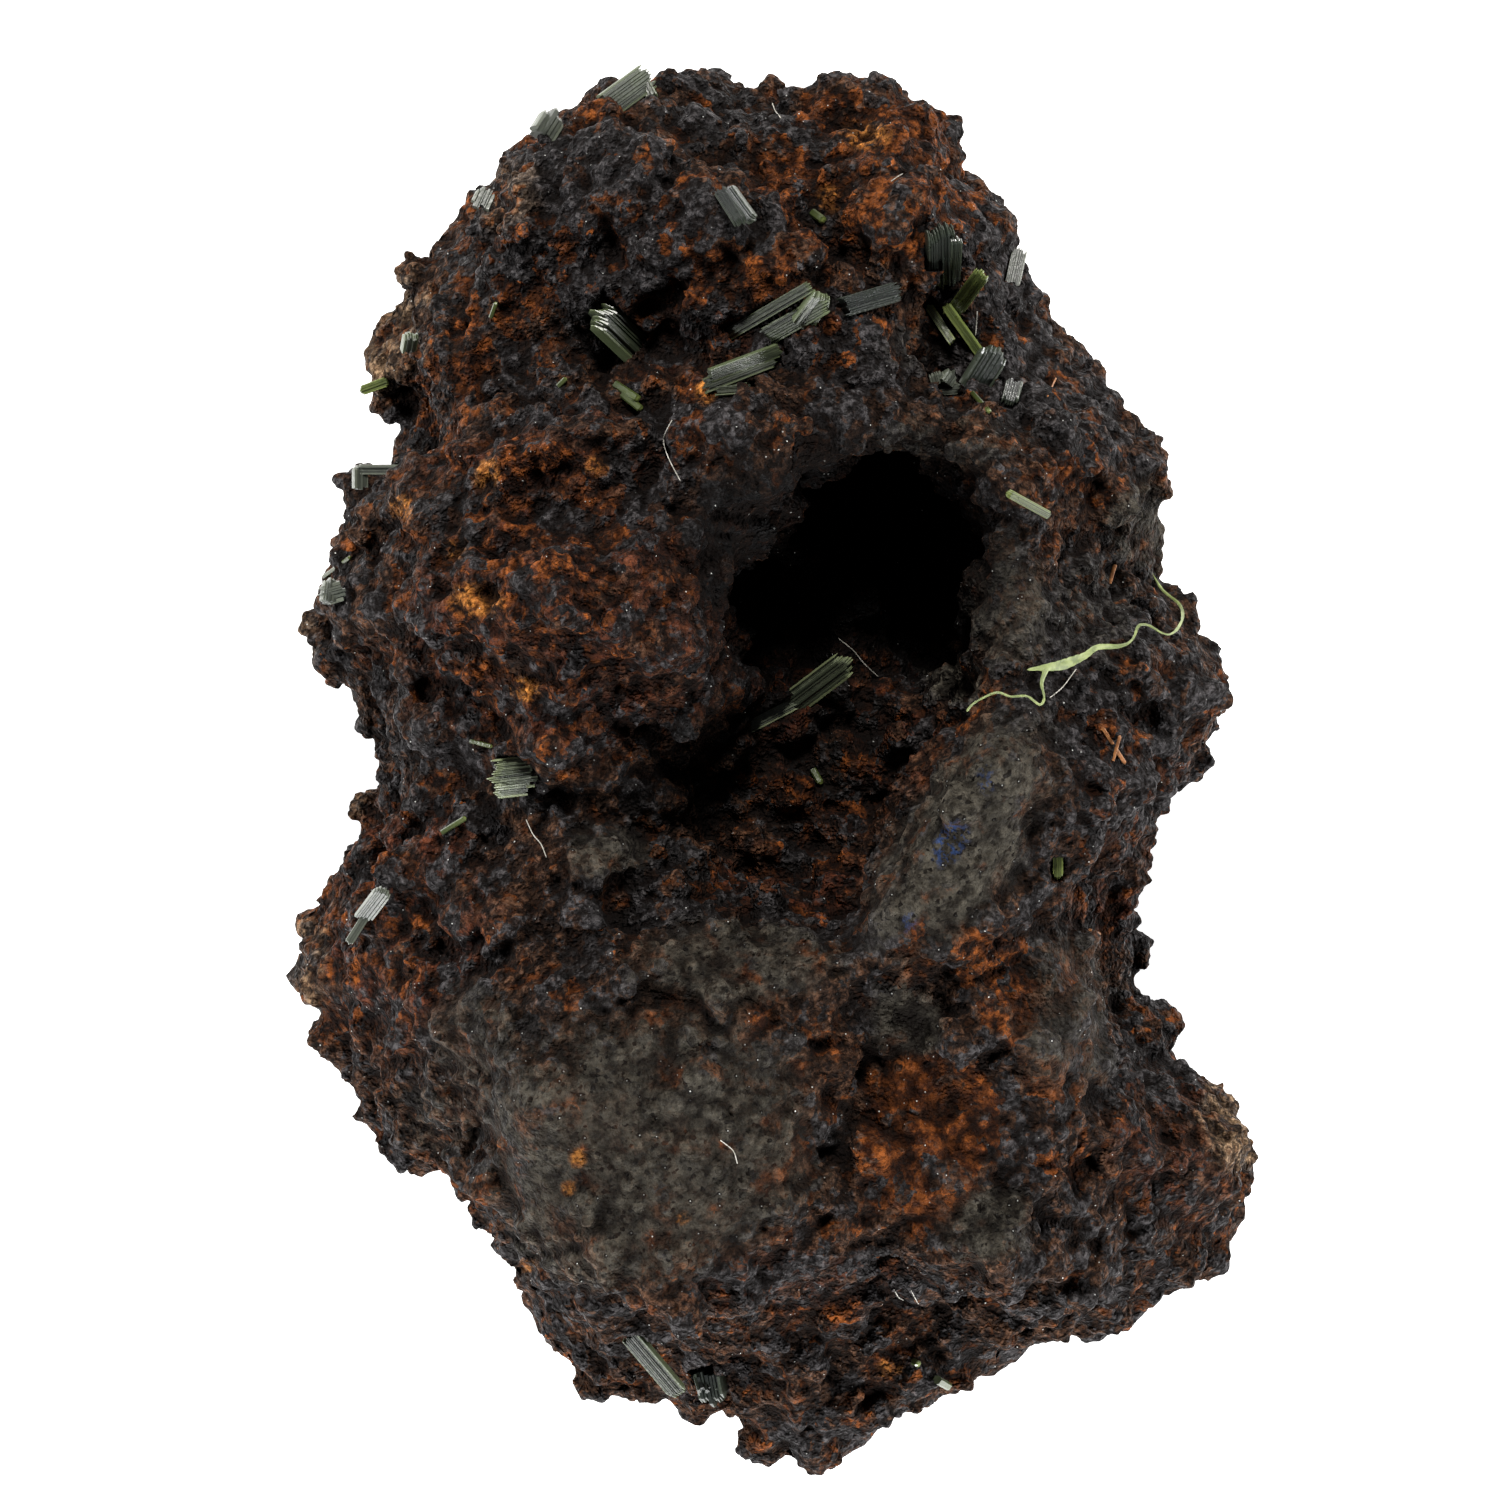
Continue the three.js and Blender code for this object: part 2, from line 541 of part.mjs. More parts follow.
// A closed solid swept through rings of points, with flat ends
function ringsGeometry(rings) {
  const sides = rings[0].length;
  const positions = rings.flat().flatMap((point) => point.toArray());
  const faces = [];
  for (let r = 0; r + 1 < rings.length; r++) {
    for (let s = 0; s < sides; s++) {
      const a = r * sides + s;
      const b = r * sides + ((s + 1) % sides);
      faces.push(a, b, b + sides, a, b + sides, a + sides);
    }
  }
  const last = (rings.length - 1) * sides;
  for (let s = 1; s + 1 < sides; s++) faces.push(0, s + 1, s, last, last + s, last + s + 1);
  const geometry = new THREE.BufferGeometry();
  geometry.setAttribute("position", new THREE.Float32BufferAttribute(positions, 3));
  geometry.setIndex(faces);
  return geometry;
}

// A crystal's section, as shares of its width and thickness
const SECTION = [[0.5, 0], [0.36, 0.5], [-0.36, 0.5], [-0.5, 0], [-0.36, -0.5], [0.36, -0.5]];
const TIP_SHARE = [0.62, 0.16]; // what is left of the section at the tip

// The axes of a crystal: along it, across its width and through its thickness
function crystalAxes(start, end, roll) {
  const along = end.clone().sub(start).normalize();
  const across = new THREE.Vector3(0, 0, 1).cross(along).normalize();
  across.applyAxisAngle(along, degToRad(roll));
  return { along, across, through: along.clone().cross(across) };
}

// Where the crystals of a node start and end. The first is lifted over the matrix, where it is steep over the
// matrix at its foot alone, and the others over the first's axis.
function nodeEnds(crystals) {
  const { from, to, steep } = crystals[0];
  const over = ([x, y, lift], [footX, footY]) => new THREE.Vector3(x, y, surfaceHeight(footX, footY) + lift);
  const start = over(from, from);
  const end = over(to, steep ? from : to);
  const flat = new THREE.Vector3(end.x - start.x, end.y - start.y, 0);
  const overFirst = ([x, y, lift]) => {
    const along = clamp(((x - start.x) * flat.x + (y - start.y) * flat.y) / flat.lengthSq(), 0, 1);
    return new THREE.Vector3(x, y, lerp(start.z, end.z, along) + lift);
  };
  return crystals.map((crystal, n) => (n ? [crystal.from, crystal.to].map(overFirst) : [start, end]));
}

// A flat crystal with a wedge at its tip
function crystalSolid(crystal, [start, end]) {
  const { width, thick, roll = 0, wedge = 0.8 } = crystal;
  const { along, across, through } = crystalAxes(start, end, roll);
  const shoulder = end.clone().addScaledVector(along, -wedge * thick);
  const ring = (middle, shareWide, shareThick) =>
    SECTION.map(([a, b]) =>
      middle
        .clone()
        .addScaledVector(across, a * width * shareWide)
        .addScaledVector(through, b * thick * shareThick),
    );
  return toSolid(ringsGeometry([ring(start, 1, 1), ring(shoulder, 1, 1), ring(end, ...TIP_SHARE)]));
}

// The plain four-sided pocket around a crystal, a gap wider on every side
function pocketSolid(crystal, [start, end]) {
  const { width, thick, roll = 0 } = crystal;
  const { along, across, through } = crystalAxes(start, end, roll);
  const ring = (middle) =>
    [[1, 1], [-1, 1], [-1, -1], [1, -1]].map(([a, b]) =>
      middle
        .clone()
        .addScaledVector(across, a * (width / 2 + GAP))
        .addScaledVector(through, b * (thick / 2 + GAP)),
    );
  const first = start.clone().addScaledVector(along, -GAP);
  const last = end.clone().addScaledVector(along, GAP);
  return toSolid(ringsGeometry([ring(first), ring(last)]));
}

// The crystals by node. Those of one node have grown together.
const CRYSTALS = {
  trough_prism: [{ from: [-7.7, 24.7, -1.0], to: [-10.8, 27.6, 2.1], width: 1.9, thick: 1.5, roll: 25 }],
  trough_lath: [{ from: [-3.9, 25.4, 0.5], to: [2.3, 28.9, 1.7], width: 0.75, thick: 0.5 }],
  trough_blade: [
    { from: [-1.2, 25.5, 0.7], to: [3.2, 27.9, 1.4], width: 1.2, thick: 0.6 },
    { from: [1.6, 26.6, -0.3], to: [3.1, 28.6, 0.3], width: 1.3, thick: 0.9, roll: 30 },
  ],
  trough_bar: [{ from: [4.1, 27.6, 0.3], to: [7.7, 28.7, 1.7], width: 1.2, thick: 0.9 }],
  trough_bundle: [
    { from: [-4.1, 22.9, 0.1], to: [0.2, 24.6, 1.3], width: 0.9, thick: 0.6 },
    { from: [-3.9, 23.5, 0.1], to: [0.5, 25.2, 0.2], width: 0.8, thick: 0.5, roll: 20 },
    { from: [-3.6, 22.6, -0.1], to: [-1.2, 22.8, -0.1], width: 0.7, thick: 0.6, roll: -15 },
  ],
  cleft_prism: [
    { from: [10.0, 29.4, -0.8], to: [9.9, 32.6, 1.2], width: 1.7, thick: 1.2, roll: 15 },
    { from: [10.8, 29.5, 0.2], to: [10.9, 31.8, 0.2], width: 0.7, thick: 0.5, roll: 15 },
  ],
  ledge_paddle: [
    { from: [10.6, 27.2, -0.7], to: [12.6, 29.9, 1.6], width: 1.0, thick: 0.5 },
    { from: [12.3, 25.1, 0], to: [10.2, 28.0, 0.6], width: 0.6, thick: 0.5 },
  ],
  ledge_needle: [{ from: [10.7, 25.7, -0.4], to: [9.2, 28.0, 1.5], width: 0.5, thick: 0.5 }],
  ledge_plate: [{ from: [11.9, 22.9, -0.8], to: [13.5, 25.5, 1.3], width: 1.9, thick: 0.7, roll: 30 }],
  ledge_cluster: [
    { from: [9.9, 23.1, 1.6], to: [9.6, 24.1, 2.6], width: 0.9, thick: 0.8, steep: true },
    { from: [10.2, 23.1, -0.2], to: [10.8, 24.0, 0.3], width: 0.9, thick: 0.7, roll: 20 },
    { from: [9.8, 22.8, 0.1], to: [11.3, 22.9, 0.6], width: 0.7, thick: 0.5 },
  ],
  ledge_patch: [{ from: [14.4, 23.2, 0.2], to: [14.0, 21.7, 1.4], width: 1.0, thick: 0.6, steep: true }],
  vug_blade: [
    { from: [1.0, 3.9, 0.1], to: [4.7, 6.7, 2.3], width: 1.6, thick: 0.6, roll: 12, wedge: 0.3 },
    { from: [-3.3, 1.6, 0.3], to: [1.7, 4.2, 0], width: 0.75, thick: 0.5 },
  ],
  bulge_block: [
    { from: [-14.6, -0.1, -0.9], to: [-17.2, -0.4, 0.4], width: 1.9, thick: 1.0, wedge: 0.2, steep: true },
    { from: [-15.0, -1.1, -0.1], to: [-16.8, -1.3, 0], width: 0.9, thick: 0.9, wedge: 0.2 },
  ],
  left_tab: [
    { from: [-24.6, -8.8, -0.5], to: [-23.2, -7.0, 1.1], width: 1.1, thick: 0.5, roll: 20, wedge: 0.3 },
    { from: [-24.2, -8.3, 0], to: [-25.6, -10.5, 0.3], width: 0.5, thick: 0.4 },
  ],
  lower_prism: [
    { from: [-8.6, -34.0, -0.8], to: [-5.5, -37.7, -1.8], width: 1.1, thick: 0.9, roll: 20, steep: true },
  ],
  lower_lump: [
    { from: [-3.9, -36.4, -1.2], to: [-3.5, -38.6, -1.6], width: 1.7, thick: 1.4, roll: 20, steep: true },
    { from: [-4.0, -37.6, 0.1], to: [-4.4, -36.2, 0.8], width: 1.2, thick: 1.1 },
  ],
  tip_plate: [
    { from: [-10.1, 39.9, -0.6], to: [-7.3, 42.1, 0.3], width: 1.7, thick: 0.5, roll: 8, wedge: 0.4 },
    { from: [-7.8, 41.4, 0], to: [-7.2, 40.3, 0.3], width: 0.7, thick: 0.6 },
  ],
  rim_lump_upper: [{ from: [-14.1, 38.0, -0.8], to: [-13.0, 39.8, 0.9], width: 1.6, thick: 1.1, roll: 20 }],
  rim_lump_lower: [{ from: [-17.8, 33.9, -0.9], to: [-17.2, 35.2, 0.8], width: 1.2, thick: 0.9 }],
  left_plate: [
    { from: [-25.0, 17.0, -0.4], to: [-25.0, 18.5, 1.2], width: 0.9, thick: 0.6, roll: 20 },
    { from: [-25.0, 18.1, 0], to: [-21.9, 18.1, 0.3], width: 0.6, thick: 0.5 },
  ],
  left_glassy: [
    { from: [-25.9, 10.8, -1.2], to: [-27.6, 10.3, -1.2], width: 1.2, thick: 0.9, steep: true },
    { from: [-26.8, 10.1, -0.2], to: [-26.6, 11.6, 0.3], width: 1.0, thick: 0.8, roll: 25 },
  ],
  arm_streak: [{ from: [-23.5, 23.5, -0.8], to: [-25.2, 22.9, -1.3], width: 0.6, thick: 0.5, steep: true }],
  arm_crystal: [{ from: [-22.0, 25.3, -0.8], to: [-21.8, 26.4, 0.9], width: 0.9, thick: 0.8, roll: 20 }],
  head_knob: [{ from: [14.3, 28.9, -0.6], to: [14.9, 31.6, 0.5], width: 0.9, thick: 0.8 }],
  head_bundle: [
    { from: [-3.2, 34.5, -0.5], to: [-1.9, 32.4, 1.0], width: 0.8, thick: 0.6 },
    { from: [-2.6, 34.6, 0.1], to: [-1.2, 32.6, 0.2], width: 0.7, thick: 0.6, roll: 25 },
  ],
  brow_needle: [{ from: [16.3, 15.2, -0.3], to: [13.8, 16.5, 1.2], width: 0.5, thick: 0.45 }],
  right_stub: [{ from: [16.9, -4.9, -0.7], to: [16.9, -6.6, 0.7], width: 0.6, thick: 0.55 }],
};

// The curly fibre and its branch: x, y, width
const FIBRE = [
  [22.2, 12.1, 0.3], [22.8, 11.0, 0.35], [23.7, 10.3, 0.35], [23.9, 9.5, 0.35], [23.6, 8.8, 0.35],
  [23.0, 8.3, 0.35], [22.4, 8.5, 0.35], [21.8, 8.9, 0.35], [21.2, 8.9, 0.4], [21.0, 8.3, 0.4],
  [20.6, 7.8, 0.4], [19.8, 7.6, 0.5], [18.7, 7.6, 0.6], [18.1, 7.1, 0.7], [17.4, 6.8, 0.9],
  [16.6, 6.5, 1.0], [15.8, 6.4, 0.6], [14.5, 6.2, 0.3],
];
const FIBRE_BRANCH = [
  [15.8, 6.4, 0.4], [15.4, 5.4, 0.4], [15.6, 4.6, 0.4], [15.3, 4.1, 0.4], [14.6, 4.7, 0.4],
  [13.6, 4.6, 0.35], [12.9, 4.9, 0.35], [12.1, 4.6, 0.35], [11.4, 4.2, 0.35], [11.0, 3.7, 0.35],
];
const FIBRE_THICK = 0.3;
const FIBRE_STEPS = 2; // rings between two of its points
const FIBRE_REACH = 0.9; // how far around the fibre the matrix is looked at, to lie clear of it

// The highest the matrix reaches near a place
function highestNear(x, y) {
  let highest = 0;
  for (const dx of [-FIBRE_REACH, 0, FIBRE_REACH]) {
    for (const dy of [-FIBRE_REACH, 0, FIBRE_REACH]) {
      highest = Math.max(highest, surfaceHeight(x + dx, y + dy));
    }
  }
  return highest;
}

// A flat strand through points of x, y and width, which lies on the matrix
function strandSolid(points) {
  const route = points.map(([x, y]) => new THREE.Vector3(x, y, highestNear(x, y) + GAP + FIBRE_THICK));
  const curve = new THREE.CatmullRomCurve3(route);
  const steps = (points.length - 1) * FIBRE_STEPS;
  const rings = [];
  for (let n = 0; n <= steps; n++) {
    const middle = curve.getPoint(n / steps);
    const across = new THREE.Vector3(0, 0, 1).cross(curve.getTangent(n / steps)).normalize();
    const before = Math.min(Math.floor(n / FIBRE_STEPS), points.length - 2);
    const halfWidth = lerp(points[before][2], points[before + 1][2], n / FIBRE_STEPS - before) / 2;
    const side = (share) => middle.clone().addScaledVector(across, share * halfWidth);
    const level = (rise) => middle.clone().add(new THREE.Vector3(0, 0, rise));
    rings.push([side(1), level(FIBRE_THICK / 2), side(-1), level(-FIBRE_THICK / 2)]);
  }
  return toSolid(ringsGeometry(rings));
}

function join(solids) {
  return solids.reduce((sum, next) => sum.add(next));
}

// A box that takes away everything below the flat that the specimen lies on
function belowFloor() {
  const block = new THREE.BoxGeometry(WIDTH * 2, LENGTH * 2, HEIGHT);
  block.translate(0, 0, -HEIGHT / 2);
  return toSolid(block);
}

const MATERIALS = {
  matrix: new THREE.MeshStandardMaterial({ name: "iron_oxide_rock", color: 0x3a2a24, roughness: 0.9 }),
  crystal: new THREE.MeshStandardMaterial({ name: "olivenite", color: 0x4f6338, roughness: 0.3 }),
  fibre: new THREE.MeshStandardMaterial({ name: "green_fibre", color: 0x9db865, roughness: 0.6 }),
};

// The solids by node name, with the pockets for the crystals cut from the matrix
function makeSolids() {
  const solids = new Map();
  let matrix = toSolid(matrixGeometry()).subtract(belowFloor());
  for (const [name, crystals] of Object.entries(CRYSTALS)) {
    const ends = nodeEnds(crystals);
    solids.set(name, join(crystals.map((crystal, n) => crystalSolid(crystal, ends[n]))));
    matrix = matrix.subtract(join(crystals.map((crystal, n) => pocketSolid(crystal, ends[n]))));
  }
  solids.set("green_fibre", join([strandSolid(FIBRE), strandSolid(FIBRE_BRANCH)]));
  return new Map([["matrix", largestBody(matrix)], ...solids]);
}

// The pockets can cut off a crumb, which is left out
function largestBody(solid) {
  return solid.decompose().reduce((best, body) => (body.volume() > best.volume() ? body : best));
}

// Fits everything to the driving dimensions, with the box's middle over the origin and its underside at zero
function fitToSize(geometries) {
  const box = new THREE.Box3();
  for (const geometry of geometries) {
    geometry.computeBoundingBox();
    box.union(geometry.boundingBox);
  }
  const size = box.getSize(new THREE.Vector3());
  const middle = box.getCenter(new THREE.Vector3());
  for (const geometry of geometries) {
    geometry.translate(-middle.x, -middle.y, -box.min.z);
    geometry.scale(WIDTH / size.x, LENGTH / size.y, HEIGHT / size.z);
  }
}

function makeSpecimen() {
  const group = new THREE.Group();
  group.name = "olivenite";
  for (const [name, solid] of makeSolids()) {
    const kind = name === "matrix" ? "matrix" : name === "green_fibre" ? "fibre" : "crystal";
    const mesh = new THREE.Mesh(toGeometry(solid), MATERIALS[kind].clone());
    mesh.name = name;
    group.add(mesh);
  }
  fitToSize(group.children.map((mesh) => mesh.geometry));
  group.children.forEach((mesh) => mesh.geometry.computeVertexNormals());
  return group;
}

export default makeSpecimen();
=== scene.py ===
"""The looks of the olivenite specimen.

Granular rock over the CAD matrix, striated crystals, the fibre, lint and splinters.
Places are millimetres as seen from above: X across, Y along, Z up. Meshes are made in metres.
"""

import math
from functools import partial

import bmesh
import bpy
import numpy as np
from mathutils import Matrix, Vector
from mathutils.bvhtree import BVHTree


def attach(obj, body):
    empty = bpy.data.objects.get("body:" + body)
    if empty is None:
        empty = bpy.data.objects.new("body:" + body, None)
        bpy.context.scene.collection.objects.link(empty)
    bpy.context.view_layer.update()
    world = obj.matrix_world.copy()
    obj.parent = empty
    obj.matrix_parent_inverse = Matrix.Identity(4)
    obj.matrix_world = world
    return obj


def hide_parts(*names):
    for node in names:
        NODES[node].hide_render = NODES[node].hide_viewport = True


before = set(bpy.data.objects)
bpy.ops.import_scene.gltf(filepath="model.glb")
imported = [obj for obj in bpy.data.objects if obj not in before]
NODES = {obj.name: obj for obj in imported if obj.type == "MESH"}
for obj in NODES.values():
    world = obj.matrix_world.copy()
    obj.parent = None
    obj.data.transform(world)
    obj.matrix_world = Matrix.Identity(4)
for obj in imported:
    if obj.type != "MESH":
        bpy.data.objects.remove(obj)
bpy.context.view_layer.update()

MM = 0.001
ABOVE_ALL = 80  # the height in millimetres from where rays are cast down

# How fine the rock is, in millimetres
BASE_VOXEL = 0.8
CLUMP_VOXEL = 0.4
FRONT_VOXEL = 0.215
BACK_VOXEL = 0.42
BACK_BELOW = 12.0  # where the coarse back starts
BACK_OVERLAP = 0.6
FRONT_STRIPS = 5

# Lumps on the rock. Radii and places are in millimetres, and out is a share of the radius
CLUMPS = {
    "count": 3400,
    "radii": (0.6, 1.55),
    "mostly_small": 1.8,
    "out": (-0.5, 0.45),
    "subdivisions": 2,
    "gathered": (3.4, 11, -0.5, 0.5),  # wavelength, seed, from few to many
    "everywhere": 0.25,
    "less_on_smooth": 0.93,
    "floor": (0.6, 0.05),  # below this height, this share of them
}
GRAINS = {
    "count": 42000,
    "radii": (0.24, 0.52),
    "mostly_small": 1.4,
    "out": (-0.3, 0.5),
    "subdivisions": 1,
    "gathered": (1.7, 12, -0.6, 0.4),
    "everywhere": 0.3,
    "less_on_smooth": 0.9,
    "floor": (0.5, 0.1),
}
# Creases between the clumps: depth in millimetres, wavelength, seed, width
CREASES = [(0.9, 4.2, 13, 0.16), (0.6, 2.3, 14, 0.2)]
SHRINK = 1.05  # how far the base steps back to make room for them
HOLD = 0.6  # how much of that is left out at the crystals, so that they stay in the rock

# Areas of the front: centre x, y, half width, half length, strength, and for some a turn in degrees
SMOOTH = [
    (-7.5, -22, 11.0, 8.5, 1.0),
    (-2.5, -11.6, 6.6, 2.6, 0.9),
    (11.2, -4.0, 3.6, 9.0, 1.0, -33),
    (13.8, 10.0, 2.6, 3.6, 0.8),
    (17.4, -14.6, 3.4, 5.0, 0.9),
    (22.6, 14.8, 2.2, 2.6, 0.7),
    (9.6, -22.0, 5.2, 5.4, 0.75),
    (7.6, -15.0, 2.4, 2.2, 1.0),
    (-9.9, -4.9, 2.2, 1.8, 0.8),
    (-17.6, -16.0, 3.0, 3.2, 0.6),
    (12.8, -27.2, 2.4, 2.0, 0.8),
]
GREY = [
    (-7.5, -22, 10.5, 8.2, 0.9),
    (-2.5, -11.6, 6.8, 2.6, 0.9),
    (11.2, -4.0, 3.6, 9.0, 1.0, -33),
    (13.8, 10.0, 2.8, 3.8, 0.75),
    (17.6, -14.4, 3.2, 5.2, 0.6),
    (22.6, 14.8, 2.6, 3.0, 0.8),
    (7.6, -15.0, 2.4, 2.2, 1.0),
    (10.6, 5.6, 1.8, 1.7, 1.0),
    (-9.9, -4.9, 2.4, 1.9, 0.8),
    (-17.6, -16.0, 3.2, 3.4, 0.7),
    (-20.0, -21.0, 3.4, 2.8, 0.5),
    (12.8, -27.2, 2.6, 2.2, 1.0),
    (-11.0, -27.5, 5.0, 3.6, 0.8),
    (8.5, 25.5, 2.6, 1.6, 0.4),
    (10.4, 19.6, 5.0, 1.8, 0.5),
    (19.0, 9.8, 2.6, 3.4, 0.4),
]
RUST = [
    (6.6, 37.3, 6.0, 4.0, 1.0),
    (3.0, 34.4, 5.0, 3.0, 0.85),
    (9.8, 35.6, 3.2, 4.2, 0.9),
    (8.6, 31.4, 4.0, 2.6, 0.8),
    (-9.0, 30.6, 6.0, 2.6, 0.55),
    (-3.0, 29.4, 5.0, 2.2, 0.6),
    (-16.6, 30.4, 3.4, 5.0, 0.6, -35),
    (-19.4, 24.4, 3.0, 6.0, 0.85, -10),
    (-12.0, 39.0, 4.0, 1.6, 0.6, 30),
    (-17.6, 15.6, 8.0, 4.0, 0.6, 10),
    (-16.0, 8.6, 8.0, 6.0, 0.5),
    (9.4, -22.0, 5.2, 5.4, 1.0),
    (13.4, -11.0, 3.2, 2.6, 0.7),
    (4.0, -33.6, 7.0, 2.0, 0.6),
    (7.2, -36.4, 2.0, 1.6, 0.9),
    (16.8, -21.0, 1.8, 4.6, 0.6),
    (-4.4, 22.8, 1.6, 1.2, 0.9),
    (-18.6, -27.0, 2.0, 2.4, 0.5),
    (-24.0, -11.0, 4.4, 6.0, 0.5),
    (2.0, -2.6, 5.0, 3.0, 0.45),
    (18.4, 17.0, 3.0, 4.0, 0.35),
]
RED = [
    (4.2, 7.4, 7.4, 11.0, 1.0),
    (-22.6, -9.4, 6.0, 8.0, 0.9),
    (-12.6, 8.4, 11.6, 8.4, 0.8),
    (-12.0, 19.0, 11.0, 2.6, 0.7, 8),
    (-3.0, 26.6, 9.0, 3.4, 0.7),
    (1.0, -7.0, 6.0, 3.0, 0.8),
    (21.6, -0.6, 3.4, 6.0, 0.5),
    (20.0, -8.6, 2.8, 3.0, 0.7),
    (24.0, -22.0, 4.6, 6.0, 0.6),
    (2.0, -30.4, 8.0, 2.6, 0.6),
]
TAN = [
    (-23.6, 26.6, 2.2, 4.4, 1.0, -20),
    (27.8, -21.0, 2.0, 3.6, 1.0),
    (-28.6, -12.0, 1.6, 3.6, 0.8),
    (-28.6, 8.0, 1.2, 2.6, 0.5),
    (-25.6, -1.0, 1.4, 2.4, 0.5),
    (-16.0, 34.6, 2.2, 2.4, 0.4),
]
CHARCOAL = [
    (-10.8, 32.4, 7.4, 6.6, 0.9),
    (-2.0, 38.6, 5.0, 2.6, 0.7),
    (12.6, 28.0, 4.0, 7.0, 0.8),
    (4.8, 25.0, 4.4, 2.6, 0.9),
    (17.6, 21.4, 4.6, 3.2, 0.8),
    (-4.6, 20.0, 3.4, 2.6, 0.8),
    (18.6, 6.0, 4.4, 6.4, 0.8),
    (21.4, 0.4, 3.6, 4.4, 0.7),
    (-8.0, -7.6, 4.4, 2.4, 0.6),
    (3.0, -9.8, 6.0, 1.6, 0.6),
    (-13.4, 24.2, 3.0, 2.6, 0.7),
    (-18.6, -0.6, 4.6, 2.8, 0.4),
    (3.6, -40.0, 4.0, 2.4, 0.7),
    (22.0, -17.4, 3.0, 3.4, 0.6),
]
OCHRE = [
    (-22.4, 15.7, 0.9, 0.9, 1.0),
    (-17.6, 10.0, 1.7, 1.1, 0.8),
    (-14.8, 4.8, 0.9, 0.8, 1.0),
    (-17.2, 17.6, 0.8, 0.9, 0.9),
    (-10.6, 18.0, 0.8, 0.7, 0.6),
    (-19.0, 13.2, 0.7, 0.6, 0.7),
    (-11.6, -23.0, 0.55, 0.55, 1.0),
    (-12.2, -24.8, 0.5, 0.5, 1.0),
    (-5.5, -26.7, 0.4, 0.35, 0.9),
    (-14.9, -30.0, 0.45, 0.45, 0.9),
    (-4.0, 22.6, 0.7, 0.9, 0.9),
    (7.0, -36.2, 0.8, 0.6, 0.9),
    (5.6, 38.0, 1.6, 1.0, 0.8),
    (3.0, 34.2, 1.0, 0.8, 0.8),
]
BLUE = [
    (10.4, -4.4, 0.9, 1.5, 1.0, -30),
    (12.6, -0.6, 0.6, 0.9, 0.5),
    (8.0, -9.0, 0.5, 0.7, 0.5),
]
# Painted shade over the dark recess round the vug
SHADE = [
    (2.0, 12.6, 8.6, 8.0, 0.95),
    (6.0, 13.0, 8.6, 7.6, 1.0),
    (1.0, 4.0, 6.4, 7.0, 0.6),
    (-4.6, 0.4, 3.4, 4.4, 0.7),
    (-8.6, 26.4, 4.6, 3.0, 0.5),
]
AREAS = {
    "smooth": SMOOTH,
    "grey": GREY,
    "rust": RUST,
    "red": RED,
    "tan": TAN,
    "charcoal": CHARCOAL,
    "ochre": OCHRE,
    "blue": BLUE,
    "shade": SHADE,
}


def smoothstep(value, low, high):
    t = np.clip((value - low) / (high - low), 0, 1)
    return t * t * (3 - 2 * t)


# Odd numbers that stir the lattice's values, and how far they are shifted in between
STIR_X, STIR_Y, STIR_Z = np.uint32(374761393), np.uint32(668265263), np.uint32(1442695041)
STIR_AGAIN = np.uint32(1274126177)
STIR_SEED = 974711
SHIFTS = np.array([13, 16, 15], np.uint32)


def lattice(i, j, k, seed):
    """A repeatable value from -1 to 1 for each point of a unit lattice."""
    h = i * STIR_X + j * STIR_Y + k * STIR_Z
    h = h + np.uint32(seed * STIR_SEED % 2**32)
    h = (h ^ (h >> SHIFTS[0])) * STIR_AGAIN
    h = (h ^ (h >> SHIFTS[1])) * STIR_Y
    return (h ^ (h >> SHIFTS[2])).astype(np.float64) / 2**31 - 1


def noise(points, wave, seed):
    """Smooth noise from -1 to 1 with the given wavelength in millimetres."""
    scaled = points / wave
    low = np.floor(scaled)
    part = scaled - low
    part = part * part * (3 - 2 * part)
    base = low.astype(np.int64).astype(np.uint32)
    total = np.zeros(len(points))
    for corner in range(8):
        steps = np.array([corner & 1, corner >> 1 & 1, corner >> 2 & 1], np.uint32)
        weight = np.prod(np.where(steps, part, 1 - part), axis=1)
        total += weight * lattice(*(base + steps).T, seed)
    return total


# The uneven edges of the areas: how strong, wavelength in millimetres, seeds across and along
AREA_EDGE_NOISE = [(1.0, 3.0, 51, 52), (0.5, 1.1, 53, 54)]
AREA_EDGE_REACH = 0.3  # as a share of the area's smaller half
AREA_EDGE = (0.65, 1.2)  # where an area begins to fade and where it ends, as shares of its halves


def area(points, name):
    """How far each point lies in a named area of the front, from 0 to 1, with uneven edges."""
    shift = np.zeros((len(points), 2))
    for strength, wave, *seeds in AREA_EDGE_NOISE:
        shift += strength * np.stack([noise(points, wave, seed) for seed in seeds], 1)
    value = np.zeros(len(points))
    for x, y, half_width, half_length, strength, *turn in AREAS[name]:
        angle = math.radians(sum(turn))
        reach_of_shift = min(1.0, AREA_EDGE_REACH * min(half_width, half_length))
        dx = points[:, 0] - x + shift[:, 0] * reach_of_shift
        dy = points[:, 1] - y + shift[:, 1] * reach_of_shift
        across = (dx * math.cos(angle) + dy * math.sin(angle)) / half_width
        along = (dy * math.cos(angle) - dx * math.sin(angle)) / half_length
        inside = 1 - smoothstep(np.hypot(across, along), *AREA_EDGE)
        value = np.maximum(value, strength * inside)
    return value


FRONT_SLOPES = (-0.3, 0.2)  # how far up a face looks, from none of the front's colours to all
FRONT_HEIGHTS = (6, 12)  # the same in millimetres above the ground


def front_share(points, normals):
    """1 where the rock faces up, 0 on its sides and back, where the areas don't reach."""
    return smoothstep(normals[:, 2], *FRONT_SLOPES) * smoothstep(points[:, 2], *FRONT_HEIGHTS)


